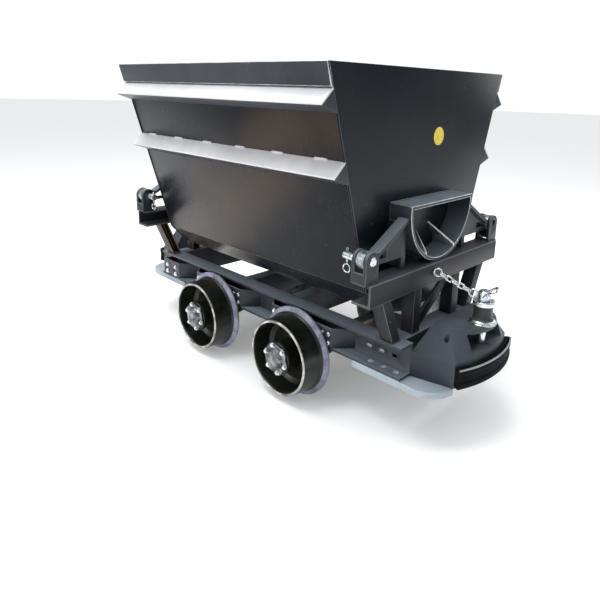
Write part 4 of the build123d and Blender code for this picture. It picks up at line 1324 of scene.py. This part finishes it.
hung = set_out(link_tree, link, "way", "X", (1, 0, 0), quarter)
close_tree(link_tree, hung, given["Finish"])
chain_zinc = bare_steel("chain_zinc", (0.5, 0.54, 0.57), (0.9, 0.93, 0.95), rough=0.22, grain=80)
link_count = 5
link_wire, link_width, link_lap = 0.0035, 0.016, 0.0042
for end in ("near", "far"):
    start = Vector(joint_of[end + "_chain_swing"]["pos_m"])
    stretch = eye_middle(end) - start
    along = stretch.normalized()
    first_reach = pin_eye - eye_wire
    pitch = (stretch.length - 2 * first_reach - link_lap) / link_count
    work = bmesh.new()
    for index in range(link_count):
        work.verts.new(start + along * (first_reach + pitch * (index + 0.5)))
    piece = shaped("chain_links_" + end, work, chain_zinc)
    way_of = piece.data.attributes.new("way", "FLOAT_VECTOR", "POINT")
    for item in way_of.data:
        item.vector = along
    quarter_of = piece.data.attributes.new("quarter", "FLOAT", "POINT")
    for index, item in enumerate(quarter_of.data):
        item.value = (index % 2) * math.pi / 2
    sizes = {"Length": pitch + link_lap, "Width": link_width, "Wire": link_wire}
    piece = grown(piece, link_tree, **sizes, Finish=chain_zinc)
    stand_for(piece, "chain_" + end)
eased("chain_anchors", 0.0003, chain_zinc, chain_zinc, fold=60, steps=1)
anchor = Vector(joint_of["near_chain_swing"]["pos_m"])
weld_x = beam_high.x + 0.001
weld_half, foot_half = 0.009, 0.0045
anchor_lines = [
    [(weld_x, y, anchor.z - weld_half), (weld_x, y, anchor.z + weld_half)]
    for y in (anchor.y - foot_half, anchor.y + foot_half)
]
anchor_lines = both_ends(anchor_lines)
lay_beads(
    "anchor_welds",
    anchor_lines,
    "chassis",
    stand_enamel,
    radius=0.0026,
    pool_length=0.006,
)


# ---- Lock pins ----------------------------------------------------------------------------
# Turned bars through the clevis ears and arm noses, each with a split pin and a pull ring so
# that the tub can be tipped to the other side.
shaft_radius, shaft_length, shaft_edge = 0.015, 0.118, 0.002
pull_ring, ring_wire = 0.014, 0.0028
leg_gap, leg_wire = 0.0016, 0.0015
split_reach, split_inset = 0.027, 0.010
shaft_profile = [
    (0, 0),
    (shaft_radius - shaft_edge, 0),
    (shaft_radius, shaft_edge),
    (shaft_radius, shaft_length - shaft_edge),
    (shaft_radius - shaft_edge, shaft_length),
    (0, shaft_length),
]
for corner in cart_corners:
    node = "lock_pin_" + corner
    low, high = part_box(node)
    sign = 1 if corner.startswith("near") else -1
    outer_end = high.x if sign > 0 else low.x
    y = (low.y + high.y) / 2
    z = high.z - split_reach
    shaft_start = (outer_end - sign * shaft_length, y, z)
    shaft = lathed(
        "shaft_" + corner,
        shaft_profile,
        shaft_start,
        (sign, 0, 0),
        0.0006,
        [pin_zinc],
        steps=40,
        closed=False,
    )
    legs_x = shaft_start[0] + sign * split_inset
    split_path = [
        (legs_x + leg_gap, y, z - 0.026),
        (legs_x + leg_gap, y, z + 0.016),
        (legs_x + 0.0055, y, z + 0.0205),
        (legs_x, y, z + 0.0245),
        (legs_x - 0.0055, y, z + 0.0205),
        (legs_x - leg_gap, y, z + 0.016),
        (legs_x - leg_gap, y, z - 0.024),
    ]
    split_path = rounded(split_path, 0.003, steps=4)
    split = wire("split_" + corner, [(split_path, False)], leg_wire, pin_zinc)
    ring_centre = Vector((legs_x, y, z - split_reach - pull_ring - 0.0033))
    ring_path = hoop(ring_centre, Vector((1, 0, 0)), upright, pull_ring)
    ring = wire("ring_" + corner, [(ring_path, True)], ring_wire, pin_zinc)
    stand_for(joined("lock_pin_turned_" + corner, shaft, split, ring), node)
